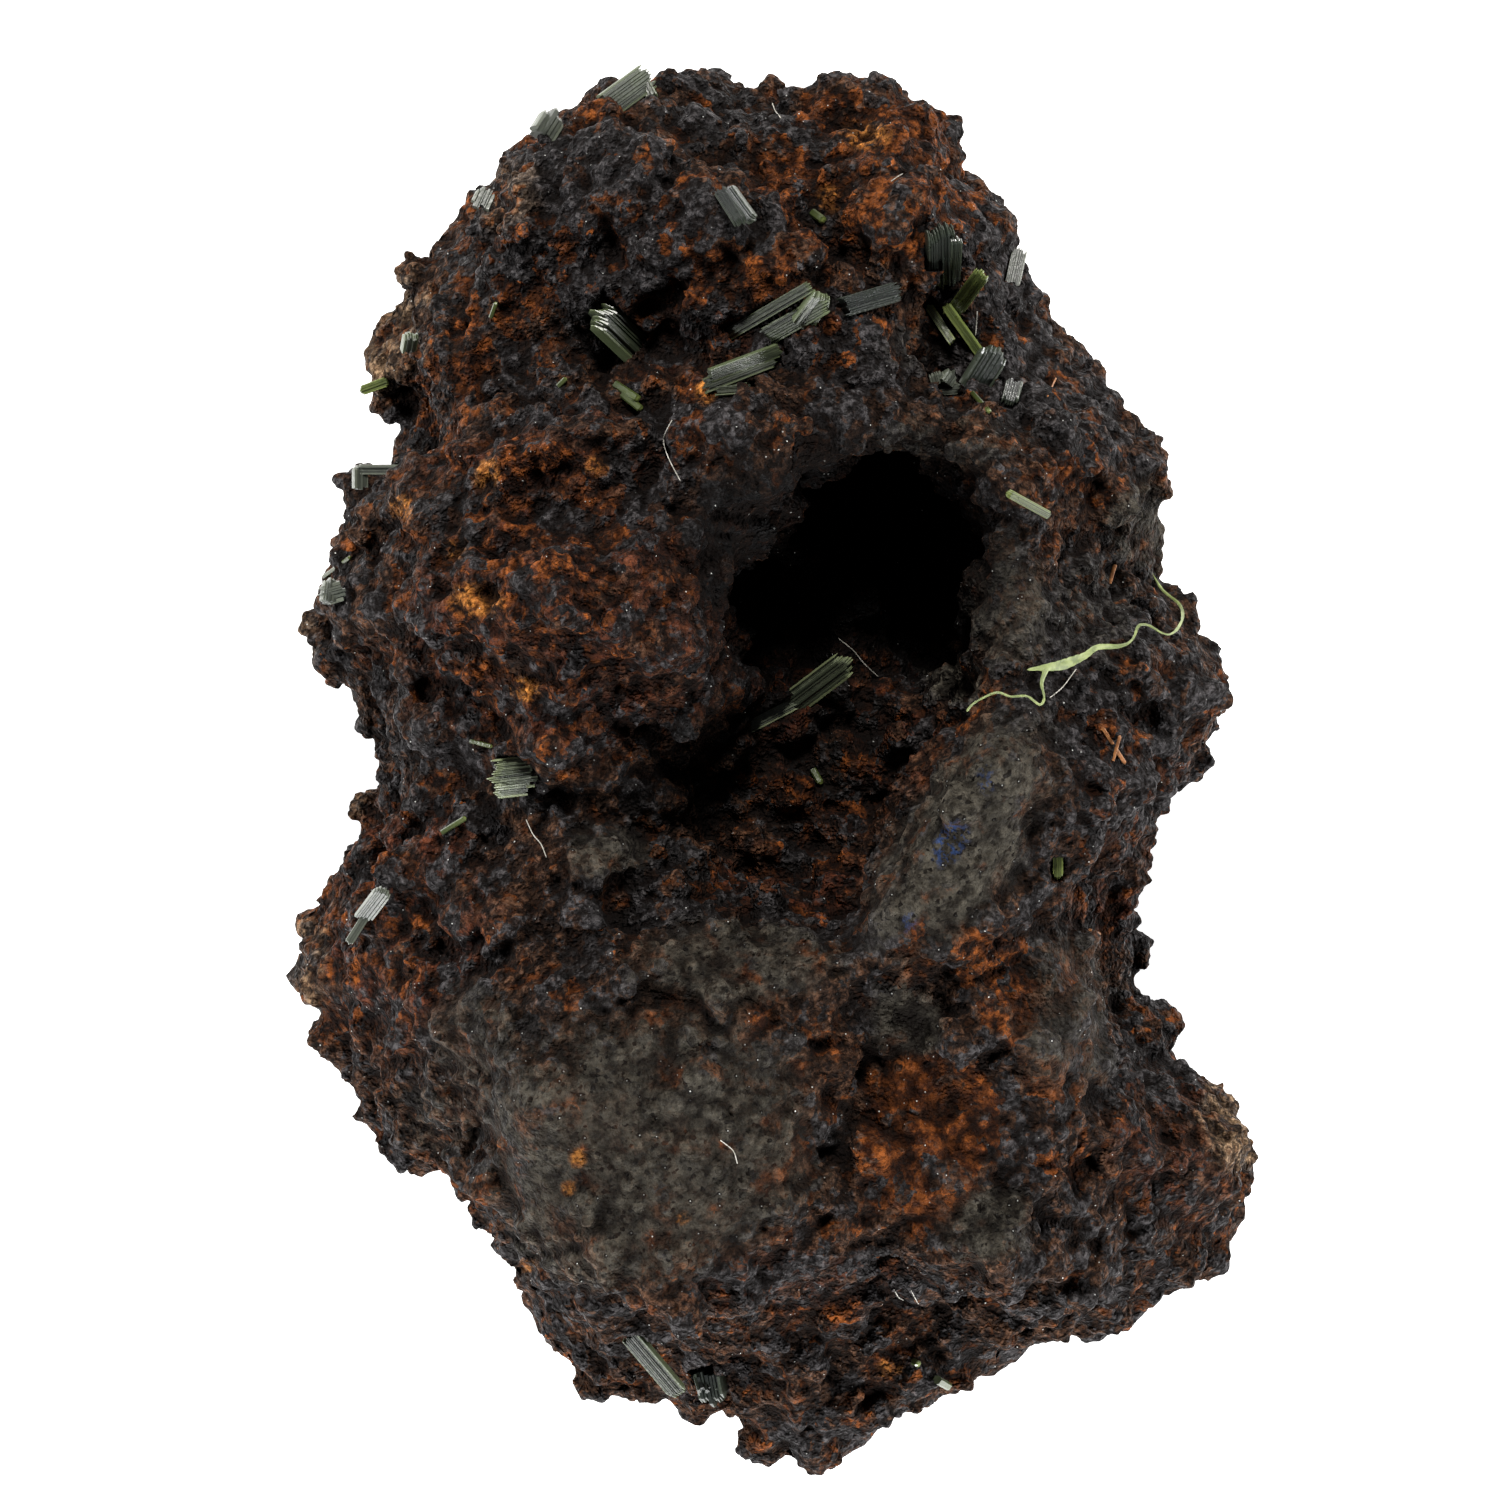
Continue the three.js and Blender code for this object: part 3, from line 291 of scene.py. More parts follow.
def new_mesh(name, points, faces):
    """A mesh from points and faces that all have the same number of corners."""
    mesh = bpy.data.meshes.new(name)
    mesh.vertices.add(len(points))
    mesh.vertices.foreach_set("co", np.asarray(points, np.float32).ravel())
    mesh.loops.add(faces.size)
    mesh.loops.foreach_set("vertex_index", np.asarray(faces, np.int32).ravel())
    mesh.polygons.add(len(faces))
    starts = np.arange(0, faces.size, faces.shape[1], dtype=np.int32)
    mesh.polygons.foreach_set("loop_start", starts)
    mesh.update(calc_edges=True)
    return mesh


def new_object(name, data):
    """A new object in the scene."""
    thing = bpy.data.objects.new(name, data)
    bpy.context.scene.collection.objects.link(thing)
    return thing


def read_mesh(mesh):
    """The points, vertex normals and faces of a mesh whose faces have equally many corners."""
    points = np.empty(len(mesh.vertices) * 3, np.float32)
    mesh.vertices.foreach_get("co", points)
    normals = np.empty(len(mesh.vertices) * 3, np.float32)
    mesh.vertex_normals.foreach_get("vector", normals)
    corners = np.empty(len(mesh.loops), np.int32)
    mesh.loops.foreach_get("vertex_index", corners)
    sides = len(mesh.loops) // len(mesh.polygons)
    points, normals = (values.reshape(-1, 3).astype(float) for values in (points, normals))
    return points, normals, corners.reshape(-1, sides)


def voxel_remesh(points, faces, voxel):
    """One skin around everything inside the faces, in squares of about the voxel's size."""
    thing = new_object("remesh", new_mesh("remesh", points, faces))
    modifier = thing.modifiers.new("voxels", "REMESH")
    modifier.mode = "VOXEL"
    modifier.voxel_size = voxel
    evaluated = thing.evaluated_get(bpy.context.evaluated_depsgraph_get())
    result = read_mesh(evaluated.to_mesh())
    evaluated.to_mesh_clear()
    old = thing.data
    bpy.data.objects.remove(thing)
    bpy.data.meshes.remove(old)
    return result


def smoothed(points, quads, rounds):
    """The points after each has moved to the mean of its neighbours, a few times."""
    starts = quads.ravel()
    ends = np.roll(quads, -1, axis=1).ravel()
    count = np.bincount(starts, minlength=len(points))[:, None]
    for _ in range(rounds):
        sums = [np.bincount(starts, points[ends, axis], len(points)) for axis in range(3)]
        points = np.stack(sums, 1) / np.maximum(count, 1)
    return points


def scatter(points, quads, count, rng, weigh):
    """Random places on a mesh with their normals. weigh gives how likely each place is."""
    triangles = as_triangles(quads)
    a, b, c = (points[triangles[:, n]] for n in range(3))
    cross = np.cross(b - a, c - a)
    doubled = np.linalg.norm(cross, axis=1)
    normals = cross / np.maximum(doubled, 1e-12)[:, None]
    chance = doubled * weigh((a + b + c) / 3, normals)
    pick = rng.choice(len(triangles), count, p=chance / chance.sum())
    u, v = rng.random((2, count))
    over = u + v > 1
    u, v = np.where(over, 1 - u, u)[:, None], np.where(over, 1 - v, v)[:, None]
    places = a[pick] + u * (b - a)[pick] + v * (c - a)[pick]
    return places, normals[pick]


def ball(subdivisions):
    """The points and faces of a ball of radius 1."""
    shape = bmesh.new()
    bmesh.ops.create_icosphere(shape, subdivisions=subdivisions, radius=1)
    points = np.array([v.co for v in shape.verts])
    faces = np.array([[v.index for v in f.verts] for f in shape.faces])
    shape.free()
    return points, faces


BALL_STRETCH = (0.82, 1.18)


def lumps(places, radii, rng, subdivisions):
    """Uneven balls at places, as triangles."""
    ball_points, ball_faces = ball(subdivisions)
    stretch = rng.uniform(*BALL_STRETCH, (len(places), 1, 3)) * radii[:, None, None]
    points = places[:, None, :] + ball_points[None] * stretch
    offsets = (np.arange(len(places)) * len(ball_points))[:, None, None]
    return points.reshape(-1, 3), (ball_faces[None] + offsets).reshape(-1, 3)


def as_triangles(faces):
    if faces.shape[1] == 3:
        return faces
    return np.vstack([faces[:, :3], faces[:, [0, 2, 3]]])


def together(*bodies):
    """Several bodies of points and faces as one, in triangles."""
    points, faces, count = [], [], 0
    for body_points, body_faces in bodies:
        points.append(body_points)
        faces.append(as_triangles(body_faces) + count)
        count += len(body_points)
    return np.vstack(points), np.vstack(faces)


def roughness_at(points, normals):
    """1 on the craggy rock, 0 on its smooth panels."""
    return 1 - area(points, "smooth") * front_share(points, normals)


def creases(points, wave, seed, width):
    """1 along winding lines over the rock, 0 away from them."""
    return 1 - smoothstep(np.abs(noise(points, wave, seed)), 0, width)


NEAR_CRYSTAL = (0.4, 1.8)  # beside a crystal, in millimetres: all of the rock held, and none


def near_crystals(points):
    """1 at the crystals, which need the rock to reach them, and 0 away from them."""
    near = np.zeros(len(points))
    for start, end, width, _ in LATH_AXES:
        line = end - start
        along = np.clip((points - start) @ line / (line @ line), 0, 1)
        away = np.linalg.norm(points - start - along[:, None] * line, axis=1) - width / 2
        near = np.maximum(near, 1 - smoothstep(away, *NEAR_CRYSTAL))
    return near


# The crags of the base: depth in millimetres, wavelength, seed
CRAGS = [(0.9, 3.4, 1), (0.4, 1.7, 2)]
SMOOTH_SHRINK = 0.12  # how far the smooth panels step back
BASE_SMOOTHING = 2


def rough_base():
    """The CAD matrix in millimetres, smoothed a little and stepped back to make room for its lumps."""
    mesh = NODES["matrix"].data
    points, _, faces = read_mesh(mesh)
    points, normals, quads = voxel_remesh(points / MM, faces, BASE_VOXEL)
    points = smoothed(points, quads, BASE_SMOOTHING)
    rough = roughness_at(points, normals)
    crags = sum(depth * noise(points, wave, seed) for depth, wave, seed in CRAGS)
    step_back = SMOOTH_SHRINK + (SHRINK - SMOOTH_SHRINK) * rough
    change = (crags * rough - step_back) * (1 - HOLD * near_crystals(points))
    points += normals * change[:, None]
    return points, quads


def grown(points, quads, rng, kind, voxel):
    """The rock with one kind of round lumps grown on it, more of them in some places than in others."""
    wave, seed, *edges = kind["gathered"]
    floor, share_on_floor = kind["floor"]

    def weigh(middles, normals):
        share = 1 - kind["less_on_smooth"] * area(middles, "smooth") * front_share(middles, normals)
        gathered = smoothstep(noise(middles, wave, seed), *edges)
        return share * (kind["everywhere"] + gathered) * np.where(middles[:, 2] < floor, share_on_floor, 1)

    count = kind["count"]
    places, normals = scatter(points, quads, count, rng, weigh)
    low, high = kind["radii"]
    radii = low + (high - low) * rng.random(count) ** kind["mostly_small"]
    places = places + normals * (radii * rng.uniform(*kind["out"], count))[:, None]
    body = together((points, quads), lumps(places, radii, rng, kind["subdivisions"]))
    return voxel_remesh(*body, voxel)


def clumped(points, quads, rng):
    """The base with clumps of one to three millimetres grown on it, and creases between them."""
    points, normals, quads = grown(points, quads, rng, CLUMPS, CLUMP_VOXEL)
    cut = sum(depth * creases(points, wave, seed, width) for depth, wave, seed, width in CREASES)
    points = points - normals * (cut * roughness_at(points, normals))[:, None]
    return smoothed(points, quads, 1), quads


# The finest relief: depth in millimetres, wavelength, seed
FINE_RELIEF = [(0.08, 0.5, 21), (0.05, 0.27, 22)]


def fine_relief(points):
    """How far the finest grain stands out, in millimetres."""
    return sum(depth * noise(points, wave, seed) for depth, wave, seed in FINE_RELIEF)


def clear_of_crystals(points):
    """Lowers the rock that would cover a crystal from above, but for its foot."""
    points = points.copy()
    for start, end, width, thick in LATH_AXES:
        flat = (end - start)[:2]
        along = ((points[:, :2] - start[:2]) @ flat) / (flat @ flat)
        aside = np.linalg.norm(points[:, :2] - start[:2] - along[:, None] * flat, axis=1)
        middle = start[2] + along * (end - start)[2]
        over = (along > FOOT_SHARE) & (along < PAST_TIP) & (aside < width / 2 + CLEARANCE)
        over &= (points[:, 2] > middle - thick / 2) & (points[:, 2] < middle + CLEAR_HEIGHT)
        points[over, 2] = (middle - thick / 2)[over]
    return points


# How far a point stands out from its surroundings: rounds of smoothing, millimetres from 0 to 1
STANDING = {"stands_out": (12, 0.6), "stands_high": (70, 1.8)}


def dress(points, normals, quads):
    """The rock's points with the finest grain, and what its colours depend on at each of them."""
    front = front_share(points, normals)
    facts = {name: area(points, name) * front for name in AREAS}
    for fact, (rounds, span) in STANDING.items():
        broad = smoothed(points, quads, rounds)
        facts[fact] = np.clip(0.5 + np.einsum("ij,ij->i", points - broad, normals) / span, 0, 1)
    points = points + normals * fine_relief(points)[:, None]
    points = clear_of_crystals(points)
    points[:, 2] = np.maximum(points[:, 2], 0)
    return points, facts


def add_piece(name, points, faces, material, facts=None, smooth=True):
    """An object of the specimen from points in millimetres, which rides on the root body."""
    mesh = new_mesh(name, points * MM, faces)
    for fact, values in (facts or {}).items():
        attribute = mesh.attributes.new(fact, "FLOAT", "POINT")
        attribute.data.foreach_set("value", np.asarray(values, np.float32))
    mesh.polygons.foreach_set("use_smooth", np.full(len(faces), smooth))
    mesh.materials.append(material)
    piece = new_object(name, mesh)
    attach(piece, "root")
    return piece


def cut_piece(name, points, quads, facts, keep, material):
    """A piece of the rock from the faces to keep."""
    faces = quads[keep]
    used, renumbered = np.unique(faces, return_inverse=True)
    part_facts = {fact: values[used] for fact, values in facts.items()}
    return add_piece(name, points[used], renumbered.reshape(faces.shape), material, part_facts)


CLUMP_SEED = 7
GRAIN_SEED = 8
STRAND_SEED = 17


def make_rock(material):
    """The rock in strips of fine front and one coarse back, in place of the CAD matrix."""
    points, quads = clumped(*rough_base(), np.random.default_rng(CLUMP_SEED))
    pieces = []
    for side, voxel in (("front", FRONT_VOXEL), ("back", BACK_VOXEL)):
        rng = np.random.default_rng(GRAIN_SEED)
        fine, normals, fine_quads = grown(points, quads, rng, GRAINS, voxel)
        fine, facts = dress(fine, normals, fine_quads)
        middles = fine[fine_quads].mean(1)
        if side == "back":
            keep = middles[:, 2] < BACK_BELOW + BACK_OVERLAP
            pieces.append(cut_piece("rock_back", fine, fine_quads, facts, keep, material))
            continue
        shown = middles[:, 2] >= BACK_BELOW
        edges = np.quantile(middles[shown, 0], np.linspace(0, 1, FRONT_STRIPS + 1))
        edges[0], edges[-1] = -np.inf, np.inf
        for n in range(FRONT_STRIPS):
            keep = shown & (middles[:, 0] >= edges[n]) & (middles[:, 0] < edges[n + 1])
            name = f"rock_front_{n + 1}"
            pieces.append(cut_piece(name, fine, fine_quads, facts, keep, material))
    for piece in pieces:
        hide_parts("matrix")
    return pieces


# Places of the colour sockets on a Mix node
COLOUR_A = 6
COLOUR_B = 7
COLOUR_RESULT = 2


class Nodes:
    """Short ways to build a material's nodes."""

    def __init__(self, name):
        self.material = bpy.data.materials.new(name)
        self.material.use_nodes = True
        self.tree = self.material.node_tree
        self.shader = self.tree.nodes["Principled BSDF"]
        self.place = self.shaded(self.node("TexCoord").outputs["Object"], 1 / MM)

    def node(self, kind, operation=None):
        node = self.tree.nodes.new("ShaderNode" + kind)
        if operation:
            node.operation = operation
        return node

    def texture(self, kind, wave, place=None):
        """A texture with the given wavelength in millimetres."""
        node = self.node(kind)
        self.link(place or self.place, node.inputs["Vector"])
        node.inputs["Scale"].default_value = 1 / wave
        return node

    def link(self, source, target):
        self.tree.links.new(source, target)

    def feed(self, target, value):
        """Sets a socket to a value, or links it to another socket."""
        if isinstance(value, bpy.types.NodeSocket):
            self.link(value, target)
        elif isinstance(value, tuple) and len(value) == 3 and target.type == "RGBA":
            target.default_value = (*value, 1)
        else:
            target.default_value = value

    def surface(self, name, value):
        self.feed(self.shader.inputs[name], value)

    def fact(self, name):
        node = self.node("Attribute")
        node.attribute_name = name
        return node.outputs["Fac"]

    def noise(self, wave, detail=3.0, roughness=0.55):
        """Noise from 0 to 1 with the given wavelength in millimetres."""
        node = self.texture("TexNoise", wave)
        node.inputs["Detail"].default_value = detail
        node.inputs["Roughness"].default_value = roughness
        return node.outputs["Fac"]

    def moved(self, wave, reach):
        """The place, shifted to and fro by up to a reach in millimetres."""
        source = self.texture("TexNoise", wave)
        source.inputs["Detail"].default_value = 1.0
        centred = self.node("VectorMath", "SUBTRACT")
        self.link(source.outputs["Color"], centred.inputs[0])
        centred.inputs[1].default_value = (0.5, 0.5, 0.5)
        total = self.node("VectorMath", "MULTIPLY_ADD")
        self.link(centred.outputs[0], total.inputs[0])
        total.inputs[1].default_value = (2 * reach, 2 * reach, 2 * reach)
        self.link(self.place, total.inputs[2])
        return total.outputs[0]

    def cells(self, wave, place=None):
        """The distance to the nearest of scattered points, and two random values for each of them."""
        node = self.texture("TexVoronoi", wave, place)
        split = self.node("SeparateColor")
        self.link(node.outputs["Color"], split.inputs[0])
        return node.outputs["Distance"], split.outputs[0], split.outputs[1]

    def step(self, value, low, high):
        """0 below low, 1 above high, smooth between."""
        node = self.node("MapRange")
        node.interpolation_type = "SMOOTHSTEP"
        self.feed(node.inputs["Value"], value)
        node.inputs["From Min"].default_value = low
        node.inputs["From Max"].default_value = high
        return node.outputs[0]

    def math(self, operation, a, b=0.0):
        node = self.node("Math", operation)
        self.feed(node.inputs[0], a)
        self.feed(node.inputs[1], b)
        return node.outputs[0]

    def mix(self, factor, a, b):
        """A colour between a and b."""
        node = self.node("Mix")
        node.data_type = "RGBA"
        self.feed(node.inputs["Factor"], factor)
        self.feed(node.inputs[COLOUR_A], a)
        self.feed(node.inputs[COLOUR_B], b)
        return node.outputs[COLOUR_RESULT]

    def shaded(self, colour, factor):
        """A colour or a place times a number."""
        node = self.node("VectorMath", "SCALE")
        self.link(colour, node.inputs[0])
        self.feed(node.inputs["Scale"], factor)
        return node.outputs[0]

    def bump(self, height, distance):
        """Roughens the surface by a height from 0 to 1, which stands for a distance in millimetres."""
        node = self.node("Bump")
        node.inputs["Strength"].default_value = 1
        node.inputs["Distance"].default_value = distance * MM
        self.link(height, node.inputs["Height"])
        return node.outputs[0]


# Colours of the rock, linear: a dark and a light tone of each
BROWN = ((0.010, 0.0046, 0.0026), (0.062, 0.030, 0.0165))
BLOOD_RED = ((0.013, 0.0034, 0.0017), (0.062, 0.0165, 0.0066))
CHARCOAL_TOPS = ((0.0060, 0.0054, 0.0056), (0.040, 0.037, 0.038))
RUSTY = ((0.024, 0.0062, 0.0016), (0.128, 0.036, 0.0072))
PANEL = ((0.011, 0.0092, 0.0066), (0.045, 0.040, 0.031))
PANEL_SPECKS = (0.004, 0.003, 0.002)
TAN_CRUST = ((0.050, 0.027, 0.014), (0.200, 0.130, 0.075))
OCHRE_SPOT = ((0.110, 0.036, 0.007), (0.330, 0.130, 0.027))
BLUE_SPOT = (0.014, 0.028, 0.075)
# Painted glints of light on the grain tops
GLINT = (0.75, 0.76, 0.72)
# Painted shade for the crevices and hollows
CREVICE_SHADE = (0.0022, 0.0010, 0.0006)

# Sizes in the rock's material, in millimetres
MOTTLE_SIZE = 2.4
POWDER_SIZE = 0.9
FLECK_SIZE = 0.4
CLUMP_SIZE = 1.6
GRAIN_SIZE = 0.46
DUST_SIZE = 0.25
RELIEF_DEPTH = 0.34
GRAIN_SHIFT = (0.5, 0.45)  # wavelength and reach of the shift that makes the grains uneven
# Steps from 0 to 1 in the rock's material
OUT_STEP = (0.30, 0.66)
HIGH_STEP = (0.18, 0.60)
GRAIN_STEP = (0.66, 0.20)
SHADE_BETWEEN_STEP = (0.62, 0.40)
RUST_STEP = (0.61, 0.74)
DARK_STEP = (0.54, 0.63)
PATCH_STEP = (0.3, 0.6)
GREY_STEP = (0.28, 0.47)
SPECK_STEP = (0.80, 0.95)
GLINT_CHANCE = (0.955, 0.985)
GLINT_SIZE = (0.26, 0.08)
# What a clump, a grain and a wide patch add to the kind of the rock at a place, 1 together
KIND_SHARES = (0.42, 0.18, 0.40)
ROCK_SHINE = 0.08
LESS_GRAIN_ON_SMOOTH = 0.7
SHADE_DEPTH = 0.92
# How far an area or a hollow shifts the kind towards rust or towards the dark
RUST_PULL, RUST_IN_HOLLOWS = 0.24, 0.10
DARK_PULL, RUST_PUSH, DARK_ON_TOPS = 0.22, 0.08, 0.12


def rock_material():
    """The rock: brown, red, rust and charcoal grains, grey panels, and small spots of other colours."""
    nodes = Nodes("iron_oxide_rock")
    add, times, less = (partial(nodes.math, kind) for kind in ("ADD", "MULTIPLY", "SUBTRACT"))
    out = nodes.step(nodes.fact("stands_out"), *OUT_STEP)
    high = nodes.step(nodes.fact("stands_high"), *HIGH_STEP)
    mottle = nodes.noise(MOTTLE_SIZE, 2)
    fleck = nodes.noise(FLECK_SIZE, 2, 0.65)
    powder = nodes.noise(POWDER_SIZE, 3, 0.7)
    rough_share = less(1.0, times(nodes.fact("smooth"), LESS_GRAIN_ON_SMOOTH))
    uneven = nodes.moved(*GRAIN_SHIFT)
    clump_kind = nodes.cells(CLUMP_SIZE, uneven)[1]
    grain_distance, grain_kind, grain_tone = nodes.cells(GRAIN_SIZE, uneven)
    grain = nodes.step(grain_distance, *GRAIN_STEP)
    fine_distance, fine_chance, _ = nodes.cells(DUST_SIZE)

    def two_tone(colours, value, low=0.36, top=0.66):
        return nodes.mix(nodes.step(value, low, top), *colours)

    def share(fact, value, low, top):
        return times(nodes.fact(fact), nodes.step(value, low, top))

    # Each clump and grain has its kind: dark ones at one end, rust at the other, brown between
    of_clump, of_grain, of_patch = KIND_SHARES
    kind = add(add(times(clump_kind, of_clump), times(grain_kind, of_grain)), times(mottle, of_patch))
    colour = two_tone(BROWN, fleck)
    colour = nodes.mix(share("red", mottle, *PATCH_STEP), colour, two_tone(BLOOD_RED, powder))
    rust = add(less(1.0, kind), times(nodes.fact("rust"), RUST_PULL))
    rust = add(rust, times(less(0.5, out), RUST_IN_HOLLOWS))
    rust = nodes.step(rust, *RUST_STEP)
    colour = nodes.mix(rust, colour, two_tone(RUSTY, powder, 0.36, 0.68))
    dark = add(kind, times(nodes.fact("charcoal"), DARK_PULL))
    dark = less(dark, times(nodes.fact("rust"), RUST_PUSH))
    dark = nodes.step(add(dark, times(less(out, 0.5), DARK_ON_TOPS)), *DARK_STEP)
    colour = nodes.mix(dark, colour, two_tone(CHARCOAL_TOPS, fleck))

    # Smooth grey panels with fine dark specks
    panel = two_tone(PANEL, powder, 0.34, 0.66)
    panel = nodes.mix(nodes.step(fine_chance, *SPECK_STEP), panel, PANEL_SPECKS)
    colour = nodes.mix(share("grey", mottle, *GREY_STEP), colour, panel)

    colour = nodes.mix(share("tan", mottle, 0.35, 0.6), colour, two_tone(TAN_CRUST, fleck))
    colour = nodes.mix(share("ochre", powder, 0.35, 0.55), colour, two_tone(OCHRE_SPOT, fleck))
    colour = nodes.mix(share("blue", fleck, 0.48, 0.6), colour, BLUE_SPOT)

    # Each grain a little lighter or darker than the next at random, with painted light on the tops that
    # stand out and painted shade in the hollows, over the recess round the vug and where the grains meet
    tone = add(1.0, times(times(less(grain_tone, 0.5), 1.3), rough_share))
    # Painted light on the tops that stand out, painted shade in the hollows
    tone = times(tone, add(0.48, times(out, 0.8)))
    # Painted shade over the recess round the vug
    tone = times(tone, less(1.0, times(nodes.fact("shade"), SHADE_DEPTH)))
    colour = nodes.shaded(colour, tone)
    # Painted shade between the grains and in the broad hollows
    between = times(nodes.step(powder, *SHADE_BETWEEN_STEP), 0.9)
    between = times(times(less(1.0, grain), rough_share), between)
    colour = nodes.mix(between, colour, CREVICE_SHADE)
    colour = nodes.mix(times(less(1.0, high), 0.85), colour, CREVICE_SHADE)

    # Tiny pale glints: painted highlights on the tops that stand out
    glint = times(nodes.step(fine_chance, *GLINT_CHANCE), nodes.step(fine_distance, *GLINT_SIZE))
    colour = nodes.mix(times(glint, times(out, 0.75)), colour, GLINT)

    nodes.surface("Base Color", colour)
    nodes.surface("Roughness", less(0.85, times(times(out, grain), 0.4)))
    nodes.shader.inputs["Specular IOR Level"].default_value = ROCK_SHINE
    relief = times(less(1.0, grain_distance), rough_share)
    relief = add(relief, times(less(1.0, fine_distance), 0.6))
    relief = add(relief, times(fleck, 1.3))
    nodes.surface("Normal", nodes.bump(relief, RELIEF_DEPTH))
    return nodes.material


# Colours of the crystals: dark strands, light strands, and thin edges, whose paler tint carries a painted
# highlight
OLIVE = ((0.008, 0.012, 0.006), (0.040, 0.050, 0.028), (0.11, 0.140, 0.06))
DARK_OLIVE = ((0.004, 0.006, 0.005), (0.018, 0.023, 0.018), (0.050, 0.062, 0.042))
# A lighter grey-green olivenite: partly its grey-green tint, partly a painted sheen and painted light
# against the recess's shade
LIT_GREY_OLIVE = ((0.024, 0.032, 0.020), (0.130, 0.150, 0.100), (0.24, 0.28, 0.13))
BRIGHT_OLIVE = ((0.030, 0.042, 0.010), (0.105, 0.130, 0.035), (0.22, 0.27, 0.07))
PALE = ((0.028, 0.034, 0.025), (0.085, 0.098, 0.074), (0.18, 0.20, 0.15))
OLIVENITE_IOR = 1.75
CRYSTAL_PATCHES = 0.8  # millimetres
CRYSTAL_GRAIN = (0.25, 0.03)  # size and depth of its roughness in millimetres


def crystal_material(name, colours, roughness, transmission):
    """A glassy crystal, darker along some strands and lighter at its thin edges, by their paler tint and a
    painted highlight.
    """
    nodes = Nodes(name)
    dark, light, edge_tint_and_highlight = colours
    strand = nodes.fact("strand")
    patchy = nodes.noise(CRYSTAL_PATCHES, 3)
    grain, depth = CRYSTAL_GRAIN
    colour = nodes.mix(strand, dark, light)
    colour = nodes.mix(nodes.step(patchy, 0.35, 0.75), colour, dark)
    # Paler thin edges and tips, with a painted highlight
    colour = nodes.mix(nodes.fact("edge_tint_and_highlight"), colour, edge_tint_and_highlight)
    nodes.surface("Base Color", colour)
    rough = nodes.math("ADD", roughness, nodes.math("MULTIPLY", patchy, 0.2))
    nodes.surface("Roughness", rough)
    nodes.shader.inputs["IOR"].default_value = OLIVENITE_IOR
    nodes.shader.inputs["Transmission Weight"].default_value = transmission
    nodes.surface("Normal", nodes.bump(nodes.noise(grain, 3), depth))
    return nodes.material


def plain_material(name, colour, second, wave, roughness):
    """A matte or silky stuff with two tones."""
    nodes = Nodes(name)
    tone = nodes.step(nodes.noise(wave, 3), 0.35, 0.65)
    nodes.surface("Base Color", nodes.mix(tone, colour, second))
    nodes.shader.inputs["Roughness"].default_value = roughness
    nodes.surface("Normal", nodes.bump(nodes.noise(wave / 3, 3), 0.04))
    return nodes.material


